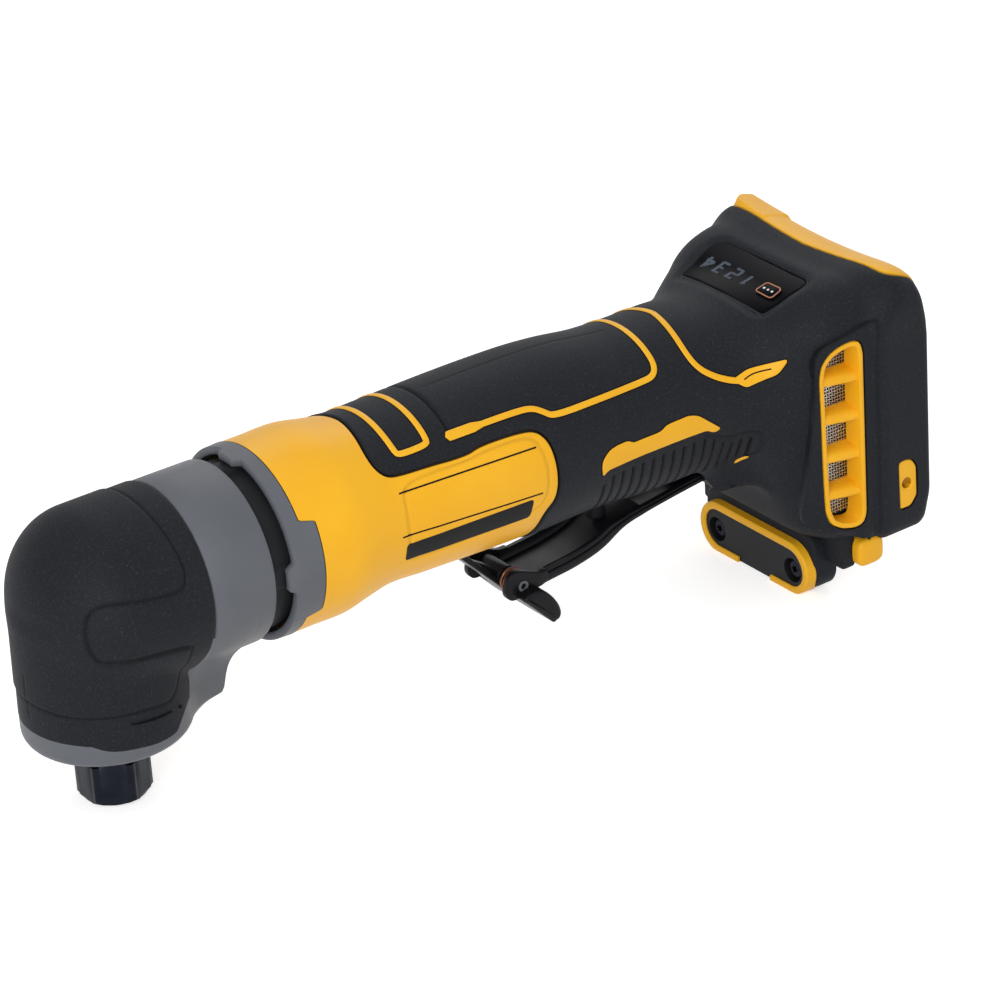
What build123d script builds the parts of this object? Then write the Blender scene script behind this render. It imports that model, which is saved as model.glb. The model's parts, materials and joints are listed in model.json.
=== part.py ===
"""Right-angle cordless die grinder, bare tool without its battery, in millimetres.

Frame: the origin lies on the spindle axis at the mouth of the collet nut. +X runs back along the
motor axis to the battery foot, -Y is the tool's left side and +Z runs up the spindle. Heights that
are written as "above the axis" count from the motor axis, which lies AXIS_Z above the origin.
"""
from build123d import *
from math import acos, atan, cos, pi, radians, sin, tan
import os

# Layout and fits
AXIS_Z = 61.0
RUNNING_FIT = 0.05
CLEARANCE = 0.3
BEYOND = 200.0

# Angle head, heights above the axis
COLLAR_R = 27.3
BOOT_R = 27.7
BOOT_WALL = 2.5
NOSE_R = 24.2
DOME_DEPTH = 23.1
SEAM_X = 21.6
COLLAR_REAR_X = 42.7
BOOT_EDGE_Z = -35.5
BOSS_R = 24.4
BOSS_BOTTOM_Z = -40.6
BOSS_ROUND = 3.6
WEB_HALF = 9.0
WEB_FOOT_X = 21.0
WEB_KNEE_X = 31.0
WEB_KNEE_Z = -37.6
WEB_HEEL_X = 37.6
WEB_HEEL_Z = -31.4
CHAMBER_R = 18.6
CHAMBER_TOP_Z = 7.5
PINION_BAY_R = 12.2

# Bevel gears
GEAR_MODULE = 1.5
PINION_TEETH = 14
GEAR_TEETH = 22
FACE_WIDTH = 6.0
PRESSURE_ANGLE = 20.0
BACKLASH = 0.3
PINION_BORE_R = 4.0
PINION_HUB_R = 7.8
PINION_HUB_LENGTH = 3.4
GEAR_BORE_R = 6.0
GEAR_HUB_R = 10.0
GEAR_WEB = 3.0
GEAR_BOTTOM_Z = -20.0

# Bearings: bore radius, outer radius, width
SPINDLE_BEARING = (6.0, 14.0, 8.0)
TOP_BEARING = (4.0, 8.0, 5.0)
FRONT_BEARING = (5.0, 13.0, 8.0)
REAR_BEARING = (4.0, 11.0, 7.0)
SHIELD_DEPTH = 0.5
SPINDLE_BEARING_Z = -35.0
TOP_BEARING_Z = 8.0
FRONT_BEARING_X = 31.0

# Spindle, collet and nut, heights above the nut's mouth
SHANK_R = 3.0
COLLET_MOUTH_R = 4.5
COLLET_SHOULDER_R = 6.2
COLLET_SMALL_R = 4.3
COLLET_NECK_Z = 4.0
COLLET_LENGTH = 19.0
COLLET_SLOT = 0.8
COLLET_SLOTS = 3
NUT_ACROSS_FLATS = 19.0
NUT_HEIGHT = 14.0
NUT_CHAMFER = 1.6
NOSE_THREAD_R = 7.6
NOSE_THREAD_Z = 5.0
SPINDLE_FLANGE_R = 8.6
SPINDLE_FLANGE_Z = 15.2
WRENCH_ACROSS = 14.0
WRENCH_HEIGHT = 5.6
SHANK_ROOM_Z = 34.0
RETAINER_R = 17.5
RETAINER_DEPTH = 5.2

# Rotor, heights measured along X
SHAFT_TIP_X = 9.5
SHAFT_R = 5.0
SHAFT_COLLAR_R = 6.2
FAN_X = 44.3
FAN_PLATE_X = 51.0
FAN_REAR_X = 52.4
FAN_R = 19.2
FAN_HUB_R = 7.5
FAN_BLADE = 1.2
FAN_BLADES = 11
FAN_BLADE_TILT = 25.0
CORE_FRONT_X = 61.0
CORE_REAR_X = 80.0
REAR_BEARING_X = CORE_REAR_X + 10.0
CORE_R = 12.0
AIR_GAP = 0.6

# Stator
STATOR_R = 24.4
STATOR_YOKE = 4.2
POLES = 6
POLE_WIDTH = 6.0
POLE_SHOE_ANGLE = 48.0
POLE_SHOE = 1.6
COIL_OVERHANG = 2.6
COIL_WIDTH = 3.2
COIL_GAP = 1.2
SENSOR_BOARD_X = CORE_REAR_X + 4.0
SENSOR_BOARD = 1.6
SENSOR_BOARD_R = 20.0
SENSOR_BOARD_BORE_R = 8.0
LEAD_R = 1.2
LEAD_PITCH = 3.4
LEAD_Z = 15.0

# Bell, deflector ring and baffle
BELL_R = 28.8
BELL_FRONT_X = 52.5
BELL_FRONT_WALL = 3.0
BELL_INLET_R = 13.0
BELL_REAR_X = 72.0
RING_FRONT_X = 48.0
RING_TAB_X = 57.5
RING_TAB_Z = 15.0
RING_WALL = 2.6
RING_NOSES = 4
RING_NOSE_X = 45.8
RING_NOSE_WIDTH = 7.4
BAFFLE_R = 24.6
BAFFLE_WALL = 4.2
BAFFLE_SLOTS = 8
BAFFLE_SLOT_WIDTH = 11.0

# Handle, as ovals with a top and a bottom height and a half width
NECK_X = 86.0
NECK_R = 26.1
GRIP_X = 112.0
GRIP_TOP = 26.5
GRIP_BOTTOM = 27.2
GRIP_HALF = 26.1
SWELL_X = 142.0
SWELL_TOP = 26.3
SWELL_BOTTOM = 28.0
SWELL_HALF = 26.3
DIP_X = 170.0
DIP_TOP = 24.0
DIP_BOTTOM = 28.8
DIP_HALF = 25.0
WAIST_X = 198.0
WAIST_TOP = 22.6
WAIST_BOTTOM = 30.0
WAIST_HALF = 25.0
HANDLE_END_X = 226.0
HANDLE_END_TOP = 20.5
HANDLE_END_BOTTOM = 29.0
HANDLE_END_HALF = 30.0
SHELL_WALL = 2.6
OVERMOLD = 1.8
PANEL_FRONT_X = 84.0
PANEL_TOP_Z = 14.6
PANEL_REAR_X = 140.5
PANEL_CORNER = 10.0
BULKHEAD_FRONT_X = CORE_REAR_X + 8.0
BULKHEAD_REAR_X = BULKHEAD_FRONT_X + 11.0

# Foot, heights above the axis
FOOT_FRONT_X = 219.0
FOOT_CHIN_X = 230.0
FOOT_HALF = 38.0
FOOT_BOTTOM_Z = -55.0
FOOT_ROUND = 15.0
FOOT_CORNER = 16.0
DISPLAY_FRONT_X = 223.0
DISPLAY_FRONT_Z = 20.1
DISPLAY_REAR_X = 238.3
DISPLAY_REAR_Z = 27.8
FLANGE_X = 249.0
FLANGE_REAR_X = 268.0
FLANGE_HALF = 41.0
FLANGE_TOP_Z = 28.0
FLANGE_BOTTOM_Z = -57.0
FLANGE_ROUND = 12.0
FLANGE_TOE = 5.0
FLANGE_REAR_ROUND = 7.0
STRIP_X = 255.0
STRIP_DEPTH = 3.0
WINDOW_X = 259.1
WINDOW_Z = -40.0
WINDOW_LENGTH = 16.0
WINDOW_WIDTH = 7.4
TETHER_HOLE_R = 1.4

# Battery channel
CHANNEL_FRONT_X = 253.0
CHANNEL_HALF = 34.0
CHANNEL_TOP_Z = 19.0
RAIL_X = 262.5
RAIL_WIDTH = 4.0
TOE_FRONT_X = 244.5
TOE_BOTTOM_Z = -63.0
TOE_WIDTH = 8.0
TOE_ROUND = 3.5
TERMINAL_HALF = 19.0
TERMINAL_TOP_Z = 4.0
TERMINAL_BOTTOM_Z = -24.0
TERMINAL_DEPTH = 4.0
BLADES = 6
BLADE_PITCH = 6.0
BLADE_THICK = 0.8
BLADE_REACH = 7.0
BLADE_HEIGHT = 13.0

# Chip bay at the foot's chin
BAY_X = 231.0
BAY_Z = -68.0
BAY_REAR_X = 240.0
BAY_HALF = 29.0
BAY_BOTTOM_Z = -76.2
BAY_CORNER = 6.0
PILL_HALF = 25.4
PILL_R = 8.1
PILL_BORDER = 2.4
COVER_DEPTH = 3.0
BAY_SCREW_Y = 18.0
BAY_SCREW_HEAD_R = 3.4
BAY_SCREW_R = 1.7
BAY_SCREW_LENGTH = 6.0

# Vents in the sides of the foot
VENT_FRONT_X = 227.4
VENT_REAR_X = 244.7
VENT_TOP_Z = 12.6
VENT_BOTTOM_Z = -47.6
VENT_ROUND = 6.0
VENT_DEPTH = 5.6
VENT_FRAME = 2.4
VENT_BARS = 4
VENT_BAR = 3.2
SCREEN_THICK = 0.6

# Display, button and boards
LENS_FRONT_HALF = 21.6
LENS_REAR_HALF = 24.2
LENS_THICK = 2.0
LENS_ROUND = 3.6
BUTTON_Y = -13.0
BUTTON_SIZE = 6.4
BUTTON_ROUND = 1.8
BUTTON_TRAVEL = 0.5
BUTTON_PROUD = 0.35
SPEED_BOARD = 1.6
CONTROLLER_FRONT_X = 232.0
CONTROLLER_HALF = 24.0
CONTROLLER_TOP_Z = 4.0
CONTROLLER_BOTTOM_Z = -42.0
CONTROLLER_FINS = 9
CONTROLLER_FIN = 1.6
CONTROLLER_FIN_HEIGHT = 4.0

# Lever, lock lever and switch, heights above the axis
LEVER_PIVOT_X = 213.0
LEVER_PIVOT_Z = -33.0
LEVER_PIVOT_R = 2.0
LEVER_BARREL_R = 3.8
LEVER_HALF = 10.6
LEVER_WALL = 2.0
LEVER_DEPTH = 5.6
LEVER_REAR_DEPTH = 3.0
LEVER_GROOVE_X = 168.0
LEVER_GROOVE_Z = -27.4
LEVER_PIN_X = 136.7
LEVER_PIN_Z = -42.0
LEVER_BELLY_X = 166.0
LEVER_BELLY_Z = -41.0
LEVER_EAR_R = 5.2
LUG_WALL = 4.0
LUG_DROP = 3.4
LOCK_PIN_R = 1.7
LOCK_HUB_R = 3.4
LOCK_PROP_X = 121.5
LOCK_PROP_Z = -29.8
LOCK_WING_TIP_Y = 24.0
LOCK_WING_X = 140.5
LOCK_WING_Z = -51.2
SPRING_WIRE_R = 0.45
SPRING_TURNS = 3
SPRING_PITCH = 1.45
SPRING_COIL_R = 3.4
SWITCH_X = 172.0
SWITCH_LENGTH = 27.0
SWITCH_HALF = 7.0
SWITCH_TOP_Z = -2.0
SWITCH_BOTTOM_Z = -20.0
PLUNGER_R = 3.0
PLUNGER_TRAVEL = 5.4
PLUNGER_SEAT = 2.0
SWITCH_CRADLE = 3.0

# Screws
CASE_SCREW_R = 1.7
CASE_SCREW_HEAD_R = 2.6
CASE_SCREW_HEAD = 2.0
CASE_SCREW_PITCH_R = 22.6
CASE_SCREWS = 4
CASE_SCREW_X = 33.0
HOUSING_SCREW_R = 1.6
HOUSING_SCREW_HEAD_R = 3.2
HOUSING_SCREW_HEAD = 2.6
HOUSING_BOSS_R = 4.6
HOUSING_SCREW_LENGTH = 18.0
HOUSING_SCREW_SEAT_Y = 9.0
HOUSING_SCREW_SPOTS = ((108.0, -13.0), (148.0, -14.0), (203.0, -15.0), (214.0, 9.0), (238.0, 12.0))

MOTOR_AXIS = Axis((0, 0, AXIS_Z), (1, 0, 0))
CENTRE_MIN = (Align.CENTER, Align.CENTER, Align.MIN)


def turned_x(*section):
    """Solid turned about the motor axis from its (x, radius) corners."""
    corners = [(x, 0, AXIS_Z + radius) for x, radius in section]
    return revolve(make_face(Polyline(*corners, close=True)), MOTOR_AXIS)


def turned_z(*section):
    """Solid turned about the spindle axis from its (radius, height) corners."""
    corners = [(radius, 0, height) for radius, height in section]
    return revolve(make_face(Polyline(*corners, close=True)), Axis.Z)


def block(x0, x1, y0, y1, z0, z1):
    """Box between two corners; its heights count from the axis."""
    return Pos(x0, y0, AXIS_Z + z0) * Box(x1 - x0, y1 - y0, z1 - z0, align=Align.MIN)


def rod_x(x0, x1, y, z, radius):
    """Cylinder along X; its height counts from the axis."""
    return Pos(x0, y, AXIS_Z + z) * Rot(0, 90, 0) * Cylinder(radius, x1 - x0, align=CENTRE_MIN)


def rod_y(x, z, y0, y1, radius):
    """Cylinder along Y; its height counts from the axis."""
    return Pos(x, y0, AXIS_Z + z) * Rot(-90, 0, 0) * Cylinder(radius, y1 - y0, align=CENTRE_MIN)


def side_plate(outline, y0, y1):
    """Outline of (x, height above the axis) corners, extruded from y0 to y1."""
    corners = [(x, y0, AXIS_Z + z) for x, z in outline]
    return extrude(make_face(Polyline(*corners, close=True)), y1 - y0, dir=(0, 1, 0))


def both_sides(piece):
    """The piece and its mirror image in the middle plane."""
    return [piece, mirror(piece, Plane.XZ)]


def half(piece, side):
    """Left (side -1) or right (side 1) half of a piece, cut at the middle plane."""
    low, high = (-BEYOND, 0) if side < 0 else (0, BEYOND)
    return piece & block(-BEYOND, 2 * BEYOND, low, high, -BEYOND, BEYOND)


def save(name, *solids):
    """Writes one node from its solids."""
    export_step(solids[0] if len(solids) == 1 else Compound(children=list(solids)), f"parts/{name}.step")


# Angle head

def head_form(inset, rear_x):
    """Head drawn in by an inset: a barrel along X with an oval dome in front, and a barrel along Z."""
    barrel_r = BOOT_R - inset
    nose_r = NOSE_R - inset
    dome_x = DOME_DEPTH - inset
    dome = EllipticalCenterArc((0, 0), dome_x, barrel_r, start_angle=90, arc_size=90)
    outline = dome + Polyline((-dome_x, 0), (rear_x, 0), (rear_x, barrel_r), (0, barrel_r))
    section = Plane((0, 0, AXIS_Z), x_dir=(1, 0, 0), z_dir=(0, -1, 0)) * make_face(outline)
    barrel = revolve(section, MOTOR_AXIS)
    post = Pos(0, 0, AXIS_Z + BOOT_EDGE_Z) * Cylinder(nose_r, -BOOT_EDGE_Z, align=CENTRE_MIN)
    return barrel + post


def boot_zone():
    """Space of the rubber boot: above its lower edge, which climbs at the rear to the collar's seam."""
    outline = (
        (-BEYOND, BOOT_EDGE_Z), (SEAM_X / 2, BOOT_EDGE_Z), (SEAM_X * 0.76, BOOT_EDGE_Z * 0.88),
        (SEAM_X - BOOT_WALL, -NOSE_R), (SEAM_X, -NOSE_R * 0.8), (SEAM_X, BEYOND), (-BEYOND, BEYOND),
    )
    return side_plate(outline, -BEYOND, BEYOND)


def make_boot():
    return (head_form(0, SEAM_X) - head_form(BOOT_WALL, SEAM_X)) & boot_zone()


def make_gear_case():
    """Cast case: head under the boot, collar, spindle boss and web, with its chambers and seats."""
    skin = head_form(0, SEAM_X) - boot_zone()
    collar = turned_x(
        (0, 0), (COLLAR_REAR_X, 0), (COLLAR_REAR_X, COLLAR_R), (SEAM_X, COLLAR_R), (SEAM_X, 1), (0, 1))
    boss = Pos(0, 0, AXIS_Z + BOSS_BOTTOM_Z) * Cylinder(BOSS_R, BOOT_EDGE_Z - BOSS_BOTTOM_Z, align=CENTRE_MIN)
    boss = fillet(boss.edges().group_by(Axis.Z)[0], BOSS_ROUND)
    web = side_plate(
        (
            (0, BOOT_EDGE_Z), (WEB_FOOT_X, BOSS_BOTTOM_Z + 1.2), (WEB_KNEE_X, WEB_KNEE_Z),
            (WEB_HEEL_X, WEB_HEEL_Z), (COLLAR_REAR_X - 4, -NOSE_R), (0, -NOSE_R)),
        -WEB_HALF, WEB_HALF)
    case = head_form(BOOT_WALL, SEAM_X) + skin + collar + boss + web
    bearing_top_z = SPINDLE_BEARING_Z + SPINDLE_BEARING[2]
    chamber = turned_z(
        (0, AXIS_Z + bearing_top_z), (CHAMBER_R, AXIS_Z + bearing_top_z),
        (CHAMBER_R, AXIS_Z + CHAMBER_TOP_Z - 4), (CHAMBER_R - 4, AXIS_Z + CHAMBER_TOP_Z),
        (0, AXIS_Z + CHAMBER_TOP_Z))
    top_seat = Pos(0, 0, AXIS_Z) * Cylinder(TOP_BEARING[1], TOP_BEARING_Z + TOP_BEARING[2], align=CENTRE_MIN)
    low_seat = Pos(0, 0, AXIS_Z + BOSS_BOTTOM_Z) * Cylinder(
        SPINDLE_BEARING[1], bearing_top_z - BOSS_BOTTOM_Z, align=CENTRE_MIN)
    retainer_seat = Pos(0, 0, AXIS_Z + BOSS_BOTTOM_Z) * Cylinder(
        RETAINER_R, SPINDLE_BEARING_Z - BOSS_BOTTOM_Z, align=CENTRE_MIN)
    bearing_rear_x = FRONT_BEARING_X + FRONT_BEARING[2]
    pinion_bay = rod_x(0, FRONT_BEARING_X, 0, 0, PINION_BAY_R)
    front_seat = rod_x(FRONT_BEARING_X, COLLAR_REAR_X, 0, 0, FRONT_BEARING[1])
    fan_mouth = turned_x(
        (bearing_rear_x, 0), (bearing_rear_x, FRONT_BEARING[1]), (COLLAR_REAR_X, FAN_R - 1),
        (COLLAR_REAR_X, 0))
    case = case - chamber - top_seat - low_seat - retainer_seat - pinion_bay - front_seat - fan_mouth
    return case - case_screws()


def case_screw_spots():
    """(y, height above the axis) of the gear case screws, at the corners of a square."""
    return [(CASE_SCREW_PITCH_R * cos(a), CASE_SCREW_PITCH_R * sin(a))
            for a in (pi / CASE_SCREWS + 2 * pi * k / CASE_SCREWS for k in range(CASE_SCREWS))]


def case_screws():
    """Screws that draw the gear case and the baffle to the housing's front wall, heads in the motor bay."""
    seat_x = BELL_FRONT_X + BELL_FRONT_WALL
    screws = []
    for y, z in case_screw_spots():
        head = rod_x(seat_x, seat_x + CASE_SCREW_HEAD, y, z, CASE_SCREW_HEAD_R)
        screws.append(head + rod_x(CASE_SCREW_X, seat_x, y, z, CASE_SCREW_R))
    return screws


def bearing(size):
    """Ball bearing along Z from its lower face, with its shields set back between the races."""
    bore_r, outer_r, width = size
    third = (outer_r - bore_r) / 4
    ring = Cylinder(outer_r, width, align=CENTRE_MIN) - Cylinder(bore_r, width, align=CENTRE_MIN)
    groove = Cylinder(outer_r - third, SHIELD_DEPTH, align=CENTRE_MIN)
    groove -= Cylinder(bore_r + third, SHIELD_DEPTH, align=CENTRE_MIN)
    return ring - groove - Pos(0, 0, width - SHIELD_DEPTH) * groove


def running(size):
    """A bearing's size with its bore opened to a running fit."""
    bore_r, outer_r, width = size
    return bore_r + RUNNING_FIT, outer_r, width


# Bevel gears

def bevel_teeth(teeth, mate):
    """Toothed cone of a straight bevel gear, its apex at the origin and its axis along +Z.

    Flanks are chords of the involute on the back cone: at a height on the tooth the half width comes
    from the virtual spur gear, and every line of a tooth runs to the apex.
    """
    cone = atan(teeth / mate)
    pitch_r = GEAR_MODULE * teeth / 2
    cone_length = pitch_r / sin(cone)
    virtual_r = pitch_r / cos(cone)
    pressure = radians(PRESSURE_ANGLE)
    base_r = virtual_r * cos(pressure)
    half_pitch_angle = (pi * GEAR_MODULE / 2 - BACKLASH) / (2 * virtual_r)

    def flank(height):
        """Cone angle and half width (radians about the axis) at a height from the pitch line."""
        radius = virtual_r + height
        rolled = acos(min(1, base_r / radius))
        half_width = half_pitch_angle + tan(pressure) - pressure - tan(rolled) + rolled
        return cone + atan(height / cone_length), radius * half_width / (pitch_r + height * cos(cone))

    levels = [flank(h) for h in (-1.25 * GEAR_MODULE, 0, GEAR_MODULE)]
    rise = [(angle, -width) for angle, width in levels]
    fall = [(angle, width) for angle, width in reversed(levels)]

    def outline(height):
        corners = []
        for tooth in range(teeth):
            middle = 2 * pi * tooth / teeth
            for angle, turn in rise + fall:
                radius = height * tan(angle)
                corners.append((radius * cos(middle + turn), radius * sin(middle + turn), height))
        return make_face(Polyline(*corners, close=True))

    far = cone_length * cos(cone) + 1.6 * GEAR_MODULE * sin(cone)
    near = (cone_length - FACE_WIDTH) * cos(cone) - 1.6 * GEAR_MODULE * sin(cone)
    cone_of_teeth = loft([outline(near), outline(far)], ruled=True)

    def on_cone(length, height):
        """(radius, height) at a length along the pitch cone and a height across it."""
        return length * sin(cone) + height * cos(cone), length * cos(cone) - height * sin(cone)

    tall = 2 * GEAR_MODULE
    root = -1.25 * GEAR_MODULE
    front = cone_length - FACE_WIDTH
    blank = [on_cone(cone_length, tall), on_cone(cone_length, root)]
    front_root_r, front_root_z = on_cone(front, root)
    blank += [(0, blank[-1][1]), (0, front_root_z), (front_root_r, front_root_z), on_cone(front, tall)]
    corners = [(radius, 0, height) for radius, height in blank]
    ring = revolve(make_face(Polyline(*corners, close=True)), Axis.Z)
    return cone_of_teeth & ring, on_cone(cone_length, root)


def make_bevel_pinion():
    """Pinion on the motor axis; one tooth points down to the gear."""
    teeth, (root_r, back) = bevel_teeth(PINION_TEETH, GEAR_TEETH)
    hub = Pos(0, 0, back) * Cylinder(PINION_HUB_R, PINION_HUB_LENGTH, align=CENTRE_MIN)
    pinion = teeth + hub - Cylinder(PINION_BORE_R, BEYOND)
    return Pos(0, 0, AXIS_Z) * Rot(0, 90, 0) * pinion


def make_bevel_gear():
    """Gear on the spindle; a gap between two teeth faces the pinion."""
    teeth, (root_r, back) = bevel_teeth(GEAR_TEETH, PINION_TEETH)
    web = Pos(0, 0, back) * Cylinder(root_r, GEAR_WEB, align=CENTRE_MIN)
    hub = Pos(0, 0, back) * Cylinder(GEAR_HUB_R, -GEAR_BOTTOM_Z - back, align=CENTRE_MIN)
    gear = teeth + web + hub - Cylinder(GEAR_BORE_R, BEYOND)
    half_tooth = 180 / GEAR_TEETH
    return Pos(0, 0, AXIS_Z) * Rot(0, 0, half_tooth) * Rot(180, 0, 0) * gear


# Spindle, collet and nut

def collet_cone(extra):
    """(radius, height) of the collet's cone, low end first, opened by an extra radius."""
    return (COLLET_SHOULDER_R - 0.4 + extra, COLLET_NECK_Z), (COLLET_SMALL_R + extra, COLLET_LENGTH)


def make_spindle():
    """Spindle with its threaded nose, wrench flats, bearing seats and the tapered socket for the collet."""
    low_z = AXIS_Z + SPINDLE_BEARING_Z
    gear_z = AXIS_Z + GEAR_BOTTOM_Z
    seat_top = low_z + SPINDLE_BEARING[2]
    journal_z = AXIS_Z - GEAR_BORE_R
    top_z = AXIS_Z + TOP_BEARING_Z + TOP_BEARING[2]
    (cone_low_r, cone_low_z), (cone_top_r, cone_top_z) = collet_cone(RUNNING_FIT)
    body = turned_z(
        (0, NOSE_THREAD_Z), (NOSE_THREAD_R, NOSE_THREAD_Z), (NOSE_THREAD_R, SPINDLE_FLANGE_Z),
        (SPINDLE_FLANGE_R, SPINDLE_FLANGE_Z), (SPINDLE_FLANGE_R, low_z), (SPINDLE_BEARING[0], low_z),
        (SPINDLE_BEARING[0], seat_top), (GEAR_HUB_R - 2, seat_top), (GEAR_HUB_R - 2, gear_z),
        (GEAR_BORE_R, gear_z), (GEAR_BORE_R, journal_z), (TOP_BEARING[0], journal_z),
        (TOP_BEARING[0], top_z), (0, top_z))
    socket = turned_z(
        (0, cone_low_z), (cone_low_r, cone_low_z), (cone_top_r, cone_top_z),
        (cone_top_r, cone_top_z + CLEARANCE), (SHANK_R + CLEARANCE, cone_top_z + CLEARANCE),
        (SHANK_R + CLEARANCE, SHANK_ROOM_Z), (0, SHANK_ROOM_Z))
    reach = 2 * SPINDLE_FLANGE_R
    flat_z = SPINDLE_FLANGE_Z - AXIS_Z
    flats = [
        block(-reach, reach, low, low + reach, flat_z, flat_z + WRENCH_HEIGHT)
        for low in (WRENCH_ACROSS / 2, -WRENCH_ACROSS / 2 - reach)]
    return body - socket - flats


def make_collet():
    """Spring collet: mouth flush with the nut, a shoulder for the nut, a cone and lengthwise slots."""
    (cone_low_r, cone_low_z), (cone_top_r, cone_top_z) = collet_cone(0)
    body = turned_z(
        (SHANK_R, 0), (COLLET_MOUTH_R, 0), (COLLET_SHOULDER_R - 0.4, COLLET_NECK_Z - 1.4),
        (cone_low_r, cone_low_z), (cone_top_r, cone_top_z), (SHANK_R, cone_top_z))
    slots = [Rot(0, 0, 60 + k * 360 / COLLET_SLOTS) * Pos(0, 0, -1) * Box(
        COLLET_SHOULDER_R * 2, COLLET_SLOT, COLLET_LENGTH - 3, align=(Align.MIN, Align.CENTER, Align.MIN))
        for k in range(COLLET_SLOTS)]
    return body - slots


def make_collet_nut():
    """Hexagon nut, its corners turned off at both ends, with a cone seat and a threaded bore."""
    hexagon = extrude(RegularPolygon(NUT_ACROSS_FLATS / 2, 6, major_radius=False), NUT_HEIGHT)
    corner_r = NUT_ACROSS_FLATS / 2 / cos(pi / 6)
    flat_r = NUT_ACROSS_FLATS / 2
    envelope = turned_z(
        (0, 0), (flat_r - NUT_CHAMFER, 0), (corner_r, NUT_CHAMFER + corner_r - flat_r),
        (corner_r, NUT_HEIGHT - 1), (flat_r, NUT_HEIGHT), (0, NUT_HEIGHT))
    seat_gap = RUNNING_FIT
    bore = turned_z(
        (0, -1), (COLLET_MOUTH_R + seat_gap, -1), (COLLET_MOUTH_R + seat_gap, 0),
        (COLLET_SHOULDER_R - 0.4 + seat_gap, COLLET_NECK_Z - 1.4),
        (COLLET_SHOULDER_R - 0.4 + seat_gap, COLLET_NECK_Z - 0.4),
        (NOSE_THREAD_R + RUNNING_FIT, COLLET_NECK_Z - 0.4), (NOSE_THREAD_R + RUNNING_FIT, NUT_HEIGHT + 1),
        (0, NUT_HEIGHT + 1))
    return (hexagon & envelope) - bore


def make_bearing_retainer():
    """Threaded ring that holds the lower spindle bearing in the boss."""
    top_z = AXIS_Z + SPINDLE_BEARING_Z
    return turned_z(
        (SPINDLE_FLANGE_R + CLEARANCE, top_z - RETAINER_DEPTH), (RETAINER_R, top_z - RETAINER_DEPTH),
        (RETAINER_R, top_z), (SPINDLE_BEARING[1] - 3, top_z), (SPINDLE_BEARING[1] - 3, top_z - 2),
        (SPINDLE_FLANGE_R + CLEARANCE, top_z - 2))


# Motor

def make_rotor_shaft():
    """Shaft with its pinion seat, two bearing seats, fan seat and core seat."""
    bearing_rear_x = FRONT_BEARING_X + FRONT_BEARING[2]
    hub_rear_x = pinion_rear_x()
    end_x = REAR_BEARING_X + REAR_BEARING[2]
    return turned_x(
        (SHAFT_TIP_X, 0), (SHAFT_TIP_X, PINION_BORE_R), (hub_rear_x, PINION_BORE_R),
        (hub_rear_x, SHAFT_COLLAR_R),
        (FRONT_BEARING_X, SHAFT_COLLAR_R), (FRONT_BEARING_X, SHAFT_R), (bearing_rear_x, SHAFT_R),
        (bearing_rear_x, SHAFT_COLLAR_R), (FAN_X, SHAFT_COLLAR_R), (FAN_X, SHAFT_R),
        (SENSOR_BOARD_X, SHAFT_R), (REAR_BEARING_X, SHAFT_R), (REAR_BEARING_X, REAR_BEARING[0]),
        (end_x, REAR_BEARING[0]), (end_x, 0))


def pinion_rear_x():
    """Rear face of the pinion's hub."""
    cone = atan(PINION_TEETH / GEAR_TEETH)
    cone_length = GEAR_MODULE * PINION_TEETH / 2 / sin(cone)
    return cone_length * cos(cone) + 1.25 * GEAR_MODULE * sin(cone) + PINION_HUB_LENGTH


def make_rotor_core():
    return turned_x(
        (CORE_FRONT_X, SHAFT_R), (CORE_REAR_X, SHAFT_R), (CORE_REAR_X, CORE_R), (CORE_FRONT_X, CORE_R))


def make_fan():
    """Radial fan: back plate, hub and backward-leaning blades."""
    plate = turned_x((FAN_PLATE_X, SHAFT_R), (FAN_REAR_X, SHAFT_R), (FAN_REAR_X, FAN_R), (FAN_PLATE_X, FAN_R))
    hub = turned_x((FAN_X, SHAFT_R), (FAN_REAR_X, SHAFT_R), (FAN_REAR_X, FAN_HUB_R), (FAN_X, FAN_HUB_R))
    rim = rod_x(FAN_X, FAN_REAR_X, 0, 0, FAN_R - FAN_BLADE / 2)
    blade = block(FAN_X, FAN_PLATE_X, -FAN_BLADE / 2, FAN_BLADE / 2, 0, FAN_R)
    lean = Pos(0, 0, AXIS_Z + FAN_HUB_R - 1) * Rot(FAN_BLADE_TILT, 0, 0) * Pos(0, 0, -AXIS_Z)
    blades = [blade.moved(lean).rotate(MOTOR_AXIS, k * 360 / FAN_BLADES) & rim for k in range(FAN_BLADES)]
    return plate + [hub, *blades]


def pole_ring(inner_r, outer_r, front_x, rear_x):
    return rod_x(front_x, rear_x, 0, 0, outer_r) - rod_x(front_x, rear_x, 0, 0, inner_r)


def make_stator_core():
    """Lamination stack: a yoke with poles that widen to shoes at the bore."""
    bore_r = CORE_R + AIR_GAP
    yoke = pole_ring(STATOR_R - STATOR_YOKE, STATOR_R, CORE_FRONT_X, CORE_REAR_X)
    shoes = pole_ring(bore_r, bore_r + POLE_SHOE, CORE_FRONT_X, CORE_REAR_X)
    reach = BEYOND * tan(radians(POLE_SHOE_ANGLE / 2))
    corners = [(CORE_FRONT_X, y, AXIS_Z + z) for y, z in ((0, 0), (-reach, BEYOND), (reach, BEYOND))]
    wedge = extrude(make_face(Polyline(*corners, close=True)), CORE_REAR_X - CORE_FRONT_X, dir=(1, 0, 0))
    pole = block(
        CORE_FRONT_X, CORE_REAR_X, -POLE_WIDTH / 2, POLE_WIDTH / 2, bore_r + POLE_SHOE / 2,
        STATOR_R - STATOR_YOKE / 2)
    core = yoke
    for k in range(POLES):
        core += (shoes & wedge).rotate(MOTOR_AXIS, k * 360 / POLES) + pole.rotate(MOTOR_AXIS, k * 360 / POLES)
    return core


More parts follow.
